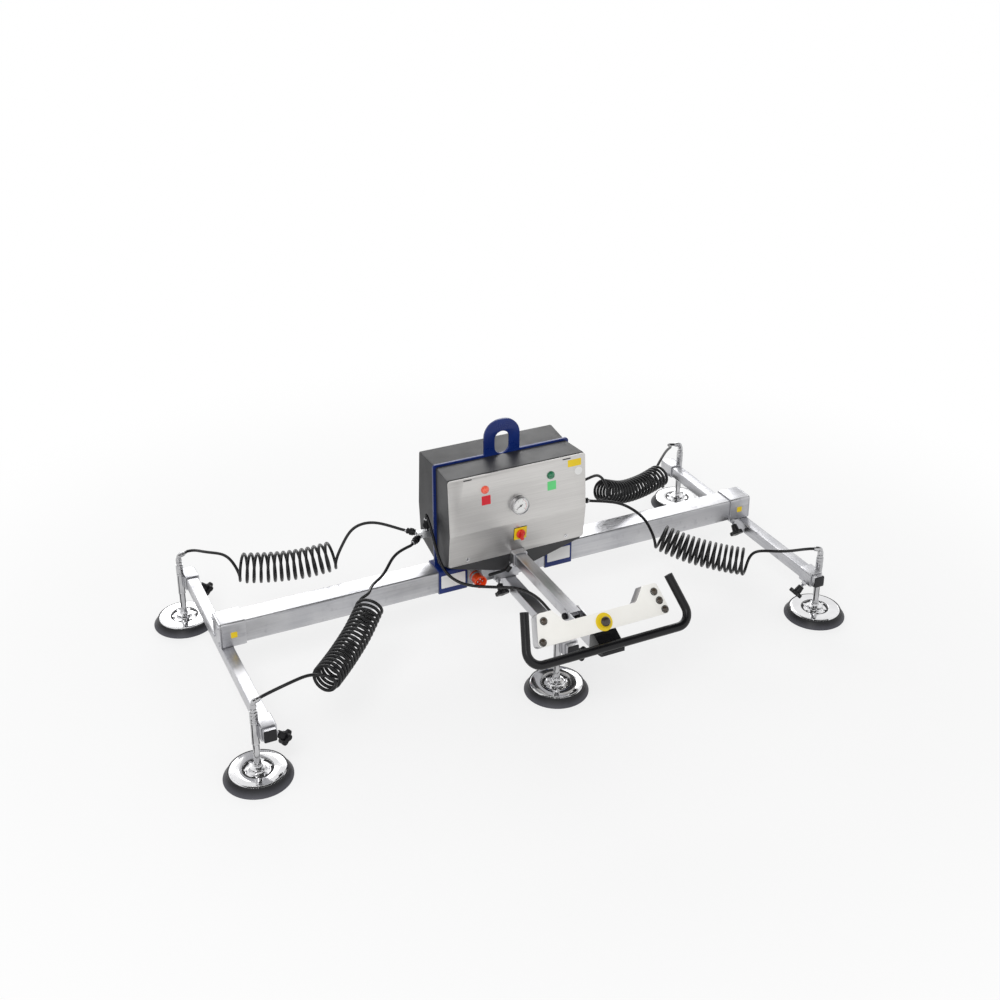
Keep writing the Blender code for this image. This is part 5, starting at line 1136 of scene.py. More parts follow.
for middle in FRAME_LABELS:
    label = rectangle((middle - LABEL_HALF_WIDTH, LABEL_LOW), (middle + LABEL_HALF_WIDTH, LABEL_HIGH), 0.003)
    label_film = pressed([label], -SLEEVE_HALF - FILM_THICKNESS, -SLEEVE_HALF + 0.0001, "XZ")
    frame_pieces.append((label_film, WHITE_FILM))
built("lifting_frame_plate", frame_pieces, "frame", ["lifting_frame"])


# Housing shells: two pressed steel covers, powder-coated in fine black texture, before and behind the plate.
# They meet the plate's edges all round, bulge slightly at half height and end in a pointed skirt.
# The mid grey edge colour of the shells is a painted highlight along their edges.
SHELL_BLACK = coated(
    "shell_black", (0.017, 0.017, 0.0185), (0.025, 0.025, 0.027), 0.50, 900.0, 0.00010,
    (0.10, 0.10, 0.105), 0.03,
)


def smooth_copy(node, softness=0.0):
    """A CAD node's shape with its triangles joined, and its edges eased if there is a softness."""
    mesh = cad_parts[node].data.copy()
    bm = bmesh.new()
    bm.from_mesh(mesh)
    bmesh.ops.remove_doubles(bm, verts=bm.verts, dist=0.00002)
    bmesh.ops.dissolve_limit(bm, angle_limit=math.radians(1.0), verts=bm.verts, edges=bm.edges)
    if softness:
        folds = [edge for edge in bm.edges if len(edge.link_faces) == 2]
        sharp = [edge for edge in folds if edge.calc_face_angle(0.0) > math.radians(35)]
        bmesh.ops.bevel(
            bm, geom=sharp, offset=softness, segments=2, profile=0.6, affect="EDGES", clamp_overlap=True,
        )
    bmesh.ops.triangulate(bm, faces=[face for face in bm.faces if len(face.verts) > 4])
    bmesh.ops.translate(bm, vec=-HOME, verts=bm.verts)
    bm.to_mesh(mesh)
    bm.free()
    mesh.materials.clear()
    return mesh


for node in ("front_shell", "rear_shell"):
    built(node + "_pressing", [(smooth_copy(node), SHELL_BLACK)], "frame", [node], 30)


# Front panel: 2 mm brushed stainless sheet over the front shell, bent with it across the middle.
# It hangs in two slots at the top, and two chromed quarter-turn locks hold it at the bottom.
PANEL_HALF_WIDTH = 0.250
PANEL_LOW, PANEL_HIGH = 0.334, 0.652
PANEL_SHEET = 0.002
PANEL_SEAT = 0.0003
BEND_Z = 0.455
NOTCH_HALF_WIDTH, NOTCH_TOP = 0.0255, 0.3455
BEND_SPREAD = 0.004
FACE_DEPTHS = ((0.330, 0.121), (BEND_Z, 0.135), (0.653, 0.121))
SLOT_X, SLOT_HALF_LENGTH = 0.180, 0.015
SLOT_LOW, SLOT_HIGH = 0.641, 0.645
LOCKS = ((-0.183, 0.352), (0.183, 0.352))
LOCK_TURN = math.radians(-35)


def brushed_stainless():
    """Stainless sheet with its brushing running across, slightly warm, with a few wiping marks."""
    made, place, shader = new_finish("brushed_stainless", Metallic=1.0)
    lines = grain(place, 700.0, 2.0, (0.012, 1.0, 1.0))
    bands = grain(place, 26.0, 4.0, (0.10, 1.0, 1.0))
    wipes = eased(grain(place, 8.0, 5.0), 0.42, 0.72)
    shade = eased(lines * 0.55 + bands * 0.45, 0.30, 0.70)
    mixed(shade, (0.575, 0.562, 0.548), (0.680, 0.667, 0.650)).into(shader.inputs["Base Color"])
    (0.27 + lines * 0.10 + wipes * 0.05).into(shader.inputs["Roughness"])
    relief(lines, 0.00002).into(shader.inputs["Normal"])
    return made


STAINLESS = brushed_stainless()


def face_depth(z):
    """How far the shell's face stands before the plate at a height."""
    for (low, low_depth), (high, high_depth) in zip(FACE_DEPTHS, FACE_DEPTHS[1:]):
        if z <= high:
            return low_depth + (z - low) / (high - low) * (high_depth - low_depth)
    return FACE_DEPTHS[-1][1]


def on_panel(x, z):
    """The place on the panel's face, with Z away from it and Y up."""
    slope = math.atan2(face_depth(z + 0.001) - face_depth(z - 0.001), 0.002)
    outward = Vector((0.0, -math.cos(slope), -math.sin(slope)))
    return facing(outward, Vector((x, -face_depth(z) - PANEL_SEAT - PANEL_SHEET, z)))


panel_half = [
    (NOTCH_HALF_WIDTH, NOTCH_TOP), (NOTCH_HALF_WIDTH, PANEL_LOW), (PANEL_HALF_WIDTH, PANEL_LOW),
    (PANEL_HALF_WIDTH, PANEL_HIGH),
]
panel_loops = [rounded(mirrored(panel_half), [0.002, 0.002, 0.009, 0.009, 0.009, 0.009, 0.002, 0.002])]
for middle in (-SLOT_X, SLOT_X):
    left, right = middle - SLOT_HALF_LENGTH, middle + SLOT_HALF_LENGTH
    panel_loops.append(rectangle((left, SLOT_LOW), (right, SLOT_HIGH), 0.0015))
panel_sheet = pressed(panel_loops, -PANEL_SHEET - PANEL_SEAT, -PANEL_SEAT, "XZ", 0.0005)
bm = bmesh.new()
bm.from_mesh(panel_sheet)
for share in (-1.0, -0.5, 0.0, 0.5, 1.0):
    level = (0, 0, BEND_Z + share * BEND_SPREAD)
    bmesh.ops.bisect_plane(bm, geom=[*bm.verts, *bm.edges, *bm.faces], plane_co=level, plane_no=(0, 0, 1))
for corner in bm.verts:
    near = max(0.0, 1.0 - abs(corner.co.z - BEND_Z) / BEND_SPREAD)
    corner.co.y -= face_depth(corner.co.z) - 0.00012 * near
bm.to_mesh(panel_sheet)
bm.free()
lock_head = turned([
    (0.0, 0.0014), (0.0052, 0.0014), (0.0058, 0.0020), (0.0066, 0.0016), (0.0070, 0.0), (0.0, 0.0),
], 0.0003, 32)
# The lock's slot is a thin black plate on the head: painted shade where the real slot is cut in.
lock_slot_shade = pressed([rectangle((-0.0009, -0.0042), (0.0009, 0.0042), 0.0006)], 0.0013, 0.00148)
panel_pieces = [(panel_sheet, STAINLESS)]
for x, z in LOCKS:
    stand = on_panel(x, z) @ Matrix.Rotation(LOCK_TURN, 4, "Z")
    panel_pieces += stood(stand, (lock_head, CHROME), (lock_slot_shade, KNOB_BLACK))


# Labels on the panel: plain self-adhesive film, red and green below the lamps, yellow and white at the top.
# They carry no signs. They are printed film, 0.3 mm thick, stuck to the sheet.
RED_FILM = coated("red_film", (0.60, 0.006, 0.020), (0.68, 0.010, 0.028), 0.34, 300.0, 0.00001)
GREEN_FILM = coated("green_film", (0.11, 0.62, 0.19), (0.15, 0.72, 0.25), 0.34, 300.0, 0.00001)
LABELS = [
    (-0.117, 0.560, square(0.032, 0.002), RED_FILM), (0.123, 0.560, square(0.032, 0.002), GREEN_FILM),
    (0.209, 0.624, rectangle((-0.025, -0.0125), (0.025, 0.0125), 0.002), YELLOW_FILM),
    (0.224, 0.592, circle(0.014, 48), WHITE_FILM),
]
for x, z, outline, film in LABELS:
    panel_pieces.append((placed(pressed([outline], -0.0001, FILM_THICKNESS), on_panel(x, z)), film))
built("front_panel_sheet", panel_pieces, "frame", ["front_panel"], 25)


# Signal lamps: moulded lenses in narrow rings, red for loss of vacuum and green for ready to lift.
# Each is pushed through the panel and held by a nut behind it.
LAMPS = {"red_lamp": (-0.120, 0.598), "green_lamp": (0.120, 0.598)}


def lens(name, deep, bright):
    """Coloured clear plastic with facets moulded inside, so that its shade changes over the dome."""
    made, place, shader = new_finish(name, Coat_Weight=0.6, Coat_Roughness=0.06)
    facets = place.node(
        "ShaderNodeTexVoronoi", {"feature": "F1"}, {"Vector": place, "Scale": 320.0}, out="Distance",
    )
    haze = grain(place, 60.0, 3.0)
    mixed(eased(facets + haze * 0.5, 0.35, 0.85), deep, bright).into(shader.inputs["Base Color"])
    (0.16 + haze * 0.10).into(shader.inputs["Roughness"])
    relief(facets, 0.0002).into(shader.inputs["Normal"])
    return made


LENSES = {
    "red_lamp": lens("red_lens", (0.72, 0.030, 0.016), (0.92, 0.16, 0.09)),
    "green_lamp": lens("green_lens", (0.004, 0.070, 0.030), (0.020, 0.22, 0.10)),
}
lamp_ring = turned([
    (0.0118, 0.0), (0.014, 0.0), (0.014, 0.0022), (0.0132, 0.0032), (0.0118, 0.0032),
], 0.0004, 48, ring=True)
lamp_dome = turned([
    (0.0, 0.012), (0.0045, 0.0117), (0.0082, 0.0105), (0.0106, 0.0082), (0.0118, 0.0050), (0.0120, 0.0006),
    (0.0, 0.0006),
], 0.003, 48)
for lamp, (x, z) in LAMPS.items():
    shapes = stood(on_panel(x, z), (lamp_dome, LENSES[lamp]), (lamp_ring, LENSES[lamp]))
    built(lamp + "_lens", shapes, "frame", [lamp], 50)


# Vacuum gauge: chromed steel case of 63 mm on the panel, white dial with a plain scale and a red end.
# The black needle turns on a pin in the middle of the dial.
GAUGE_PLACE = (0.0, 0.520)
GAUGE_RADIUS = 0.031
DIAL_RADIUS = 0.0275
DIAL_FLOOR = 0.0150
GAUGE_TOP = 0.020
SCALE_START, SCALE_SWEEP = math.radians(225), math.radians(270)
RED_FROM = 0.60
RED_STEPS = 24
NUMBER_RADIUS = 0.0172
NEEDLE_REST = math.radians(120)
DIAL_WHITE = coated(
    "dial_white", (0.80, 0.80, 0.79), (0.86, 0.86, 0.85), 0.28, 500.0, 0.000004, Coat_Weight=0.5,
)
INK_BLACK = coated("ink_black", (0.012, 0.012, 0.012), (0.022, 0.022, 0.022), 0.40, 500.0, 0.000004)
INK_RED = coated("ink_red", (0.62, 0.012, 0.010), (0.72, 0.020, 0.014), 0.36, 500.0, 0.000004)

gauge_stand = on_panel(*GAUGE_PLACE)
gauge_case = turned([
    (DIAL_RADIUS, DIAL_FLOOR - 0.002), (DIAL_RADIUS, GAUGE_TOP - 0.0022), (DIAL_RADIUS + 0.0010, GAUGE_TOP),
    (GAUGE_RADIUS - 0.0010, GAUGE_TOP), (GAUGE_RADIUS, GAUGE_TOP - 0.0014),
    (GAUGE_RADIUS, GAUGE_TOP - 0.0060), (GAUGE_RADIUS - 0.0010, GAUGE_TOP - 0.0068),
    (GAUGE_RADIUS - 0.0010, 0.0020), (GAUGE_RADIUS, 0.0012), (GAUGE_RADIUS, 0.0), (DIAL_RADIUS, 0.0),
], 0.0005, 72, ring=True)
dial_edge = DIAL_RADIUS + 0.0004
gauge_dial = turned([
    (0.0, DIAL_FLOOR), (dial_edge, DIAL_FLOOR), (dial_edge, DIAL_FLOOR - 0.001), (0.0, DIAL_FLOOR - 0.001),
], 0.0001, 72)


def make_scale_tree(name, material):
    """Strokes of a dial: thin bars on the points of an arc, each turned to look at the middle."""
    tree, entry = new_tree(name, {"Length": "Float", "Width": "Float", "Height": "Float"})
    size = entry["Length"].node("ShaderNodeCombineXYZ", sockets={
        0: entry["Length"], 1: entry["Width"], 2: entry["Height"],
    })
    bar = size.node("GeometryNodeMeshCube", sockets={"Size": size})
    place = bar.node("GeometryNodeInputPosition")
    aim = place.node("FunctionNodeAlignEulerToVector", {"axis": "X"}, {"Vector": place})
    turn = aim.node("FunctionNodeEulerToRotation", sockets={0: aim})
    copies = bar.node("GeometryNodeInstanceOnPoints", sockets={
        "Points": entry["Geometry"], "Instance": bar, "Rotation": turn,
    })
    return close_tree(tree, copies, material)


def on_scale(share, radius, z=0.0):
    """A place on the dial, from 0 at the start of the scale to 1 at its end."""
    angle = SCALE_START - SCALE_SWEEP * share
    return (radius * math.cos(angle), radius * math.sin(angle), z)


def dial_number(number):
    """A number's mesh, about its middle."""
    text = bpy.data.curves.new("dial_number", "FONT")
    text.body = str(number)
    text.size = 0.0046
    text.align_x = "CENTER"
    text.align_y = "CENTER"
    text.extrude = 0.00003
    mesh = plain_mesh(added("dial_number", text))
    mesh.materials.clear()
    return mesh


scale_tree = make_scale_tree("dial_strokes", INK_BLACK)
gauge_pieces = [(gauge_case, SHADED_CHROME), (gauge_dial, DIAL_WHITE)]
for count, radius, length, width in ((10, 0.0235, 0.0042, 0.0006), (50, 0.0246, 0.0020, 0.00028)):
    strokes = grown(
        scale_tree, [on_scale(step / count, radius) for step in range(count + 1)], [],
        length=length, width=width, height=0.00006,
    )
    gauge_pieces.append((placed(strokes, Matrix.Translation((0, 0, DIAL_FLOOR + 0.00003))), INK_BLACK))
red_shares = [RED_FROM + (1.0 - RED_FROM) * step / RED_STEPS for step in range(RED_STEPS + 1)]
red_arc = [on_scale(share, 0.0212)[:2] for share in red_shares]
red_arc += [on_scale(share, 0.0206)[:2] for share in reversed(red_shares)]
gauge_pieces.append((pressed([red_arc], DIAL_FLOOR - 0.00001, DIAL_FLOOR + 0.00006), INK_RED))
for number in range(0, 11, 2):
    place = on_scale(number / 10, NUMBER_RADIUS, DIAL_FLOOR + 0.00004)
    gauge_pieces.append((placed(dial_number(number), Matrix.Translation(place)), INK_BLACK))
built("vacuum_gauge_case", stood(gauge_stand, *gauge_pieces), "frame", ["vacuum_gauge"])

needle_half = [(0.0012, -0.007), (0.0009, 0.004), (0.0002, 0.0205)]
needle_blade = pressed([mirrored(needle_half)], 0.0, 0.0008, "XY", 0.00012)
needle_hub = turned([
    (0.0, 0.0018), (0.0022, 0.0017), (0.0030, 0.0010), (0.0030, -0.0004), (0.0, -0.0004),
], 0.0004, 32)
needle_pin = Matrix.Translation((0, 0, DIAL_FLOOR + 0.0011))
needle_stand = gauge_stand @ needle_pin @ Matrix.Rotation(NEEDLE_REST, 4, "Z")
needle_shapes = stood(needle_stand, (needle_blade, INK_BLACK), (needle_hub, INK_BLACK))
built("gauge_needle_blade", needle_shapes, "gauge_needle", ["gauge_needle"])


# Main switch: yellow plate on a black base, screwed to the panel, with a red rotary handle.
# Both are moulded plastic; the handle turns through a quarter and its bar is waisted for the fingers.
SWITCH_PLACE = (0.006, 0.410)
YELLOW_PLASTIC = coated("yellow_plastic", (0.78, 0.55, 0.004), (0.86, 0.63, 0.008), 0.36, 240.0, 0.00004)
RED_PLASTIC = coated(
    "red_plastic", (0.60, 0.012, 0.008), (0.72, 0.024, 0.014), 0.30, 240.0, 0.00004, Coat_Weight=0.2,
)

switch_stand = on_panel(*SWITCH_PLACE)
switch_base = pressed([square(0.048, 0.003)], 0.0003, 0.0014, "XY", 0.0003)
switch_cover = pressed([square(0.0456, 0.0026)], 0.0012, 0.0030, "XY", 0.0005)
switch_shapes = stood(switch_stand, (switch_base, PLUG_BLACK), (switch_cover, YELLOW_PLASTIC))
built("switch_plate_cover", switch_shapes, "frame", ["switch_plate"])
grip_outline = [
    (-0.0052, -0.0152), (0.0052, -0.0152), (0.0058, -0.0120), (0.0040, -0.0050), (0.0040, 0.0050),
    (0.0050, 0.0120), (0.0030, 0.0154), (-0.0030, 0.0154), (-0.0050, 0.0120), (-0.0040, 0.0050),
    (-0.0040, -0.0050), (-0.0058, -0.0120),
]
switch_grip = pressed([rounded(grip_outline, [0.0016] * 12, 4)], 0.0060, 0.0190, "XY", 0.0016)
switch_disc = turned([
    (0.0, 0.0070), (0.0140, 0.0070), (0.0160, 0.0052), (0.0160, 0.0), (0.0, 0.0),
], 0.0010, 56)
knob_stand = switch_stand @ Matrix.Translation((0, 0, 0.0036))
knob_shapes = stood(knob_stand, (switch_grip, RED_PLASTIC), (switch_disc, RED_PLASTIC))
built("switch_knob_handle", knob_shapes, "switch_knob", ["switch_knob"])


# Operator arm: zinc-plated 40 mm square tube that slides in the frame's socket and carries the handle.
# A clamping lever of black plastic screws through the socket's corner and holds it.
ARM_BORE = (0.034, 0.003)
ARM_REAR, ARM_FRONT = -0.010, -0.534
LEVER_LENGTH = 0.078
LEVER_TILT = math.radians(40)
arm_tube = square_tube(ARM, ARM_BORE, ARM_FRONT, ARM_REAR, "XZ", 0.0003, arm_middle)
built("operator_arm_tube", [(arm_tube, ZINC_ALONG_Y)], "operator_arm", ["operator_arm"])

clamp_tip, clamp_way = KNOBS.pop("arm_clamp")
screw_reach = (HOLDER[0] - ARM[0]) / math.sqrt(2) + 0.007
lever_aim = Vector((-1.0, -0.35, 1.0))
lever_aim = (lever_aim - clamp_way * lever_aim.dot(clamp_way)).normalized()
lever_stand = Matrix.Translation(clamp_tip) @ Matrix(
    (lever_aim, clamp_way.cross(lever_aim), clamp_way)
).transposed().to_4x4()
lever_hub = turned([
    (0.0, screw_reach + 0.022), (0.0065, screw_reach + 0.022), (0.009, screw_reach + 0.019),
    (0.009, screw_reach + 0.004), (0.0078, screw_reach), (0.0, screw_reach),
], 0.0012, 36)
lever_screw = turned([
    (0.0, screw_reach + 0.001), (KNOB_SCREW_RADIUS, screw_reach + 0.001), (KNOB_SCREW_RADIUS, 0.0), (0.0, 0.0)
], 0.0004, 24)
lever_low = screw_reach + 0.0132
lever_grip = turned([
    (0.0, LEVER_LENGTH + 0.003), (0.0030, LEVER_LENGTH + 0.002), (0.0055, LEVER_LENGTH - 0.003),
    (0.0056, LEVER_LENGTH - 0.022), (0.0040, 0.012), (0.0046, 0.0), (0.0, 0.0),
], 0.0016, 28)
lever_way = facing((math.cos(LEVER_TILT), 0.0, math.sin(LEVER_TILT)), (0.0, 0.0, lever_low))
lever_shapes = stood(lever_stand, (lever_hub, KNOB_BLACK), (placed(lever_grip, lever_way), KNOB_BLACK))
lever_shapes += stood(lever_stand, (lever_screw, SCREW_ZINC))
built("arm_clamp_lever_grip", lever_shapes, "arm_clamp_lever", ["arm_clamp_lever"])


# Handle joint: two zinc-plated plates of a fork beside the arm's end, with a web in front of it.
# A black-capped bolt through arm and fork is its hinge, so that the handle tilts to the operator's height.
PIVOT_Y = -0.515
FORK_INNER, FORK_OUTER = 0.0205, 0.0255
FORK_FRONT = -0.690
FORK_BACK = PIVOT_Y + 0.024
FORK_LOW, FORK_HIGH = ARM_Z - 0.020, ARM_Z + 0.020
WEB_BACK = -0.551
WEB_TOP = ARM_Z - 0.015
BOLT_HOLE_RADIUS = 0.0063
fork_side = rounded([
    (FORK_BACK, FORK_LOW), (FORK_BACK, FORK_HIGH), (FORK_FRONT, FORK_HIGH), (FORK_FRONT, FORK_LOW),
], [0.0198, 0.0198, 0.001, 0.001], 12)
fork_hole = circle(BOLT_HOLE_RADIUS, 32, (PIVOT_Y, ARM_Z))
fork_web = rounded([
    (FORK_FRONT, FORK_LOW), (FORK_FRONT, WEB_TOP), (WEB_BACK, WEB_TOP), (WEB_BACK, FORK_LOW),
], [0.001] * 4, 3)
fork_shapes = [
    (pressed([fork_side, fork_hole], low, high, "YZ", 0.0005), ZINC_ALONG_Y)
    for low, high in ((-FORK_OUTER, -FORK_INNER), (FORK_INNER, FORK_OUTER))
]
fork_shapes.append((pressed([fork_web], -FORK_INNER - 0.0008, FORK_INNER + 0.0008, "YZ"), ZINC_ALONG_Y))
built("handle_fork_plates", fork_shapes, "handle", ["handle_fork"])

bolt_stand = facing((-1, 0, 0), (-FORK_OUTER - 0.0003, PIVOT_Y, ARM_Z))
bolt_cap = turned([
    (0.0, 0.011), (0.0055, 0.0106), (0.0088, 0.0088), (0.0108, 0.0050), (0.011, 0.0), (0.0, 0.0),
], 0.002, 36)
bolt_shank = turned([(0.0, 0.001), (0.006, 0.001), (0.006, -0.0520), (0.0, -0.0520)], 0.0003, 28)
bolt_nut = stack_on(nut_tree, [(FORK_OUTER + 0.0003, PIVOT_Y, ARM_Z)], (1, 0, 0), 0.0090, 0.0070)
bolt_shapes = stood(bolt_stand, (bolt_cap, KNOB_BLACK), (bolt_shank, SCREW_ZINC)) + [(bolt_nut, SCREW_ZINC)]
built("handle_bolt_cap", bolt_shapes, "operator_arm", ["handle_bolt"])


# Control box: flat sheet-metal case with a raised ear at each end, closed by an off-white front plate.
# The stop button in the middle stands on a round yellow plate; the push buttons sit in black rings.
BOX_DEPTH = 0.045
COVER_SHEET = 0.0016
CREAM_COAT = coated("cream_coat", (0.885, 0.870, 0.825), (0.935, 0.925, 0.885), 0.36, 420.0, 0.00003)
CASE_GREY = coated("case_grey", (0.50, 0.50, 0.51), (0.62, 0.62, 0.63), 0.34, 200.0, 0.00003, Metallic=0.85)
BUTTON_BROWN = coated(
    "button_brown", (0.030, 0.020, 0.013), (0.060, 0.043, 0.028), 0.24, 300.0, 0.00003, Coat_Weight=0.4,
)
BOX_PLACE = (0.0, -0.723, 0.387)
BOX_LEAN = math.radians(37.6)
BOX_MIDDLE = 0.049
BUTTONS = {
    "left_upper_button": (-0.188, 0.073), "left_lower_button": (-0.208, 0.014),
    "right_upper_button": (0.188, 0.073), "right_middle_button": (0.198, 0.0435),
    "right_lower_button": (0.208, 0.014),
}
STOP_PLACE = (0.0, 0.025)

box_stand = Matrix.Translation(BOX_PLACE) @ Matrix.Rotation(math.pi / 2 - BOX_LEAN, 4, "X")
box_half = [(0.226, 0.0), (0.204, 0.098), (0.154, 0.098), (0.120, 0.056)]
box_radii = [0.014, 0.014, 0.007, 0.014]
box_outline = rounded(mirrored(box_half), box_radii + box_radii[::-1], 8)
inner_outline = [(x * 0.997, BOX_MIDDLE + (y - BOX_MIDDLE) * 0.985) for x, y in box_outline]
button_ring = turned([
    (0.0103, 0.0), (0.0118, 0.0), (0.0118, 0.0018), (0.0110, 0.0028), (0.0103, 0.0028),
], 0.0004, 40, ring=True)
stop_plate = turned([
    (0.0098, 0.0008), (0.0275, 0.0008), (0.0275, -0.0001), (0.0098, -0.0001),
], 0.0002, 64, ring=True)
stop_cone = turned([
    (0.0098, 0.0006), (0.0150, 0.0006), (0.0138, 0.0028), (0.0098, 0.0028),
], 0.0004, 48, ring=True)
box_pieces = [
    (pressed([box_outline], -BOX_DEPTH, -COVER_SHEET - 0.0008, "XY", 0.0018), CASE_GREY),
    (pressed([inner_outline], -COVER_SHEET - 0.0010, -COVER_SHEET + 0.0001), PLUG_BLACK),
    (pressed([box_outline], -COVER_SHEET, 0.0, "XY", 0.0005), CREAM_COAT),
    (placed(stop_plate, Matrix.Translation((*STOP_PLACE, 0.0))), YELLOW_PLASTIC),
    (placed(stop_cone, Matrix.Translation((*STOP_PLACE, 0.0))), YELLOW_PLASTIC),
]
for x, y in BUTTONS.values():
    box_pieces.append((placed(button_ring, Matrix.Translation((x, y, 0.0))), PLUG_BLACK))
built("control_box_case", stood(box_stand, *box_pieces), "handle", ["control_box"])

button_cap = turned([
    (0.0, 0.0085), (0.0040, 0.0081), (0.0078, 0.0066), (0.0098, 0.0045), (0.0099, 0.0035), (0.0075, 0.0030),
    (0.0075, -0.0080), (0.0, -0.0080),
], 0.0012, 40)
for button, (x, y) in BUTTONS.items():
    shapes = stood(box_stand @ Matrix.Translation((x, y, 0.0)), (button_cap, BUTTON_BROWN))
    built(button + "_cap", shapes, button, [button], 50)
stop_cap = turned([
    (0.0, 0.020), (0.0060, 0.0196), (0.0112, 0.0180), (0.0144, 0.0148), (0.0150, 0.0118), (0.0144, 0.0092),
    (0.0100, 0.0074), (0.0, 0.0074),
], 0.0018, 56)
stop_neck = turned([(0.0, 0.0078), (0.0090, 0.0078), (0.0090, -0.0080), (0.0, -0.0080)], 0.0003, 40)
stop_stand = box_stand @ Matrix.Translation((*STOP_PLACE, 0.0))
stop_shapes = stood(stop_stand, (stop_cap, BUTTON_BROWN), (stop_neck, YELLOW_PLASTIC))
built("stop_button_cap", stop_shapes, "stop_button", ["stop_button"], 50)


# Handle bar: round steel tube of 27 mm, bent to a wide hoop round the control box and coated satin black.
# A black bracket below the box holds it and bolts the whole handle to the fork.
BAR_RADIUS = 0.0135
BAR_COAT = coated(
    "bar_black", (0.005, 0.005, 0.006), (0.009, 0.009, 0.0105), 0.27, 500.0, 0.00003, Specular_IOR_Level=0.3,
)
bar_corners = [(-0.245, 0.111), (-0.282, -0.0475), (0.282, -0.0475), (0.245, 0.111)]
bar_line = [box_stand @ Vector((x, y, 0.012)) for x, y in rounded(bar_corners, [0, 0.042, 0.042, 0], 14)]
bar_tree = make_tube_tree("bent_bar", BAR_COAT)
bar_pieces = [(tube_along(bar_tree, bar_line, BAR_RADIUS, 36), BAR_COAT)]
end_plug = turned([(0.0, 0.0), (0.0095, 0.0), (0.0095, -0.0015), (0.0, -0.0015)], 0.0004, 32)
for first, second in ((bar_line[0], bar_line[1]), (bar_line[-1], bar_line[-2])):
    bar_pieces.append((placed(end_plug, facing(first - second, first)), PLUG_BLACK))
built("handle_bar_tube", bar_pieces, "handle", ["handle_bar"], 50)
bracket_block = smooth_copy("handle_bracket", 0.0012)
built("handle_bracket_block", [(bracket_block, BAR_COAT)], "handle", ["handle_bracket"], 30)


# Vacuum manifolds: bare aluminium blocks on the sides of the rear shell, with black quick couplings.
# Each coupling has a ribbed release ring and a chromed nut, out of which its hose comes.
MANIFOLD_LOW, MANIFOLD_HIGH = 0.244, 0.304
MANIFOLD_Y = (0.0053, 0.0273)
MANIFOLD_Z = 0.400
MANIFOLD_SIDE = 0.022


def bare_aluminium():
    """Machined aluminium: fine tool marks along the block, and a dull bloom."""
    made, place, shader = new_finish("bare_aluminium", Metallic=1.0)
    marks = grain(place, 420.0, 2.0, (1.0, 0.05, 1.0))
    bloom = grain(place, 30.0, 4.0)
    share = eased(bloom * 0.6 + marks * 0.4, 0.3, 0.7)
    mixed(share, (0.62, 0.63, 0.64), (0.76, 0.77, 0.78)).into(shader.inputs["Base Color"])
    (0.26 + marks * 0.12 + bloom * 0.08).into(shader.inputs["Roughness"])
    relief(marks, 0.00003).into(shader.inputs["Normal"])
    return made


ALUMINIUM = bare_aluminium()
rib_tree = make_stack_tree("coupling_ribs", [(4, 0.0, 1.0, 1.0, 1.0)], PLUG_BLACK)
coupling_foot = turned([
    (0.0, 0.0145), (0.0070, 0.0145), (0.0070, 0.0060), (0.0084, 0.0050), (0.0084, -0.0090), (0.0, -0.0090),
], 0.0006, 36)
coupling_sleeve = turned([
    (0.0, 0.0445), (0.0086, 0.0445), (0.0100, 0.0425), (0.0100, 0.0385), (0.0088, 0.0375), (0.0088, 0.0345),
    (0.0115, 0.0335), (0.0115, 0.0205), (0.0100, 0.0190), (0.0100, 0.0140), (0.0, 0.0140),
], 0.0007, 36)
coupling_nut = turned([
    (0.0, 0.0498), (0.0062, 0.0498), (0.0070, 0.0488), (0.0074, 0.0460), (0.0074, 0.0440), (0.0, 0.0440),
], 0.0005, 36)
coupling_ribs = stack_on(rib_tree, raised(circle(0.0113, 20), 0.0210), (0, 0, 1), 0.0009, 0.0120)
coupling_shapes = [
    (coupling_foot, SHADED_CHROME), (coupling_sleeve, KNOB_BLACK), (coupling_ribs, KNOB_BLACK),
    (coupling_nut, SHADED_CHROME),
]
manifold_low, manifold_high = MANIFOLD_Z - MANIFOLD_SIDE / 2, MANIFOLD_Z + MANIFOLD_SIDE / 2
manifold_section = rectangle((MANIFOLD_Y[0], manifold_low), (MANIFOLD_Y[1], manifold_high), 0.0015)
for side, hand in (("left", -1), ("right", 1)):
    low, high = sorted((hand * MANIFOLD_LOW, hand * MANIFOLD_HIGH))
    shapes = [(pressed([manifold_section], low, high, "YZ", 0.0010), ALUMINIUM)]
    for foot, way in COUPLINGS.values():
        if foot[0] * hand > 0:
            shapes += stood(facing(way, foot), *coupling_shapes)
    built(side + "_manifold_block", shapes, "frame", [side + "_manifold"])


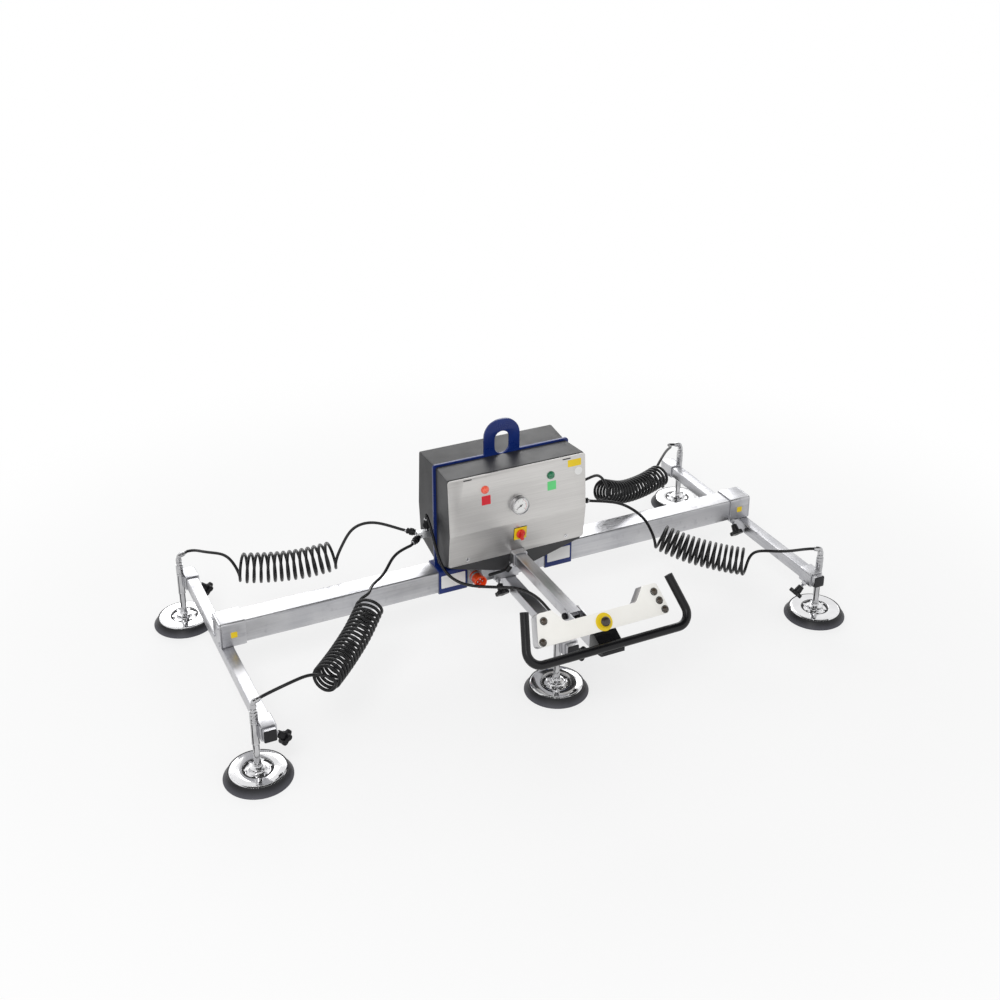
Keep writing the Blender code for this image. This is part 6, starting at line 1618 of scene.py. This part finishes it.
# Mains inlet: orange-red moulded plug housing on the main beam's front, on a grey flange.
# Two grey clips hold the plug in; its mouth looks at the operator.
INLET_X = -0.121
INLET_FACE = -0.040
INLET_RADIUS = 0.022
ORANGE_PLASTIC = coated("orange_plastic", (0.74, 0.050, 0.008), (0.86, 0.085, 0.014), 0.32, 240.0, 0.00004)
FLANGE_GREY = coated("flange_grey", (0.30, 0.31, 0.32), (0.38, 0.39, 0.40), 0.40, 300.0, 0.00004)
inlet_stand = facing((0, -1, 0), (INLET_X, INLET_FACE - 0.0003, BEAM_Z))
inlet_barrel = turned([
    (0.019, 0.0570), (0.0212, 0.0570), (INLET_RADIUS, 0.0560), (INLET_RADIUS, 0.0500), (0.0208, 0.0490),
    (0.0208, 0.0070), (0.0, 0.0070), (0.0, 0.0320), (0.019, 0.0320),
], 0.0008, 56, ring=True)
inlet_collar = turned([
    (0.0200, 0.0180), (INLET_RADIUS, 0.0180), (INLET_RADIUS, 0.0250), (0.0200, 0.0250),
], 0.0006, 56, ring=True)
inlet_pins = stack_on(cap_screw_tree, raised(circle(0.009, 4), 0.0315), (0, 0, 1), 0.0022, 0.018)
screw_places = [(x, y, 0.0078) for x in (-0.019, 0.019) for y in (-0.024, 0.024)]
flange_screws = stack_on(cap_screw_tree, screw_places, (0, 0, 1), 0.0032, 0.0030)
inlet_pieces = [
    (pressed([rectangle((-0.025, -0.030), (0.025, 0.030), 0.006)], 0.0, 0.008, "XY", 0.0012), FLANGE_GREY),
    (inlet_barrel, ORANGE_PLASTIC), (inlet_collar, FLANGE_GREY), (inlet_pins, CHROME),
    (flange_screws, SCREW_ZINC),
]
inlet_shapes = stood(inlet_stand, *inlet_pieces)
built("mains_inlet_housing", inlet_shapes, "frame", ["mains_inlet"])


# Vacuum pump and vacuum tank: grey painted, inside the housing, bolted by their feet to the blue plate.
# Neither shows when the housing is closed.
GREY_COAT = coated("grey_coat", (0.24, 0.25, 0.26), (0.32, 0.33, 0.34), 0.45, 300.0, 0.00006)
for node in ("vacuum_pump", "vacuum_tank"):
    built(node + "_casting", [(smooth_copy(node, 0.0008), GREY_COAT)], "frame", [node], 35)
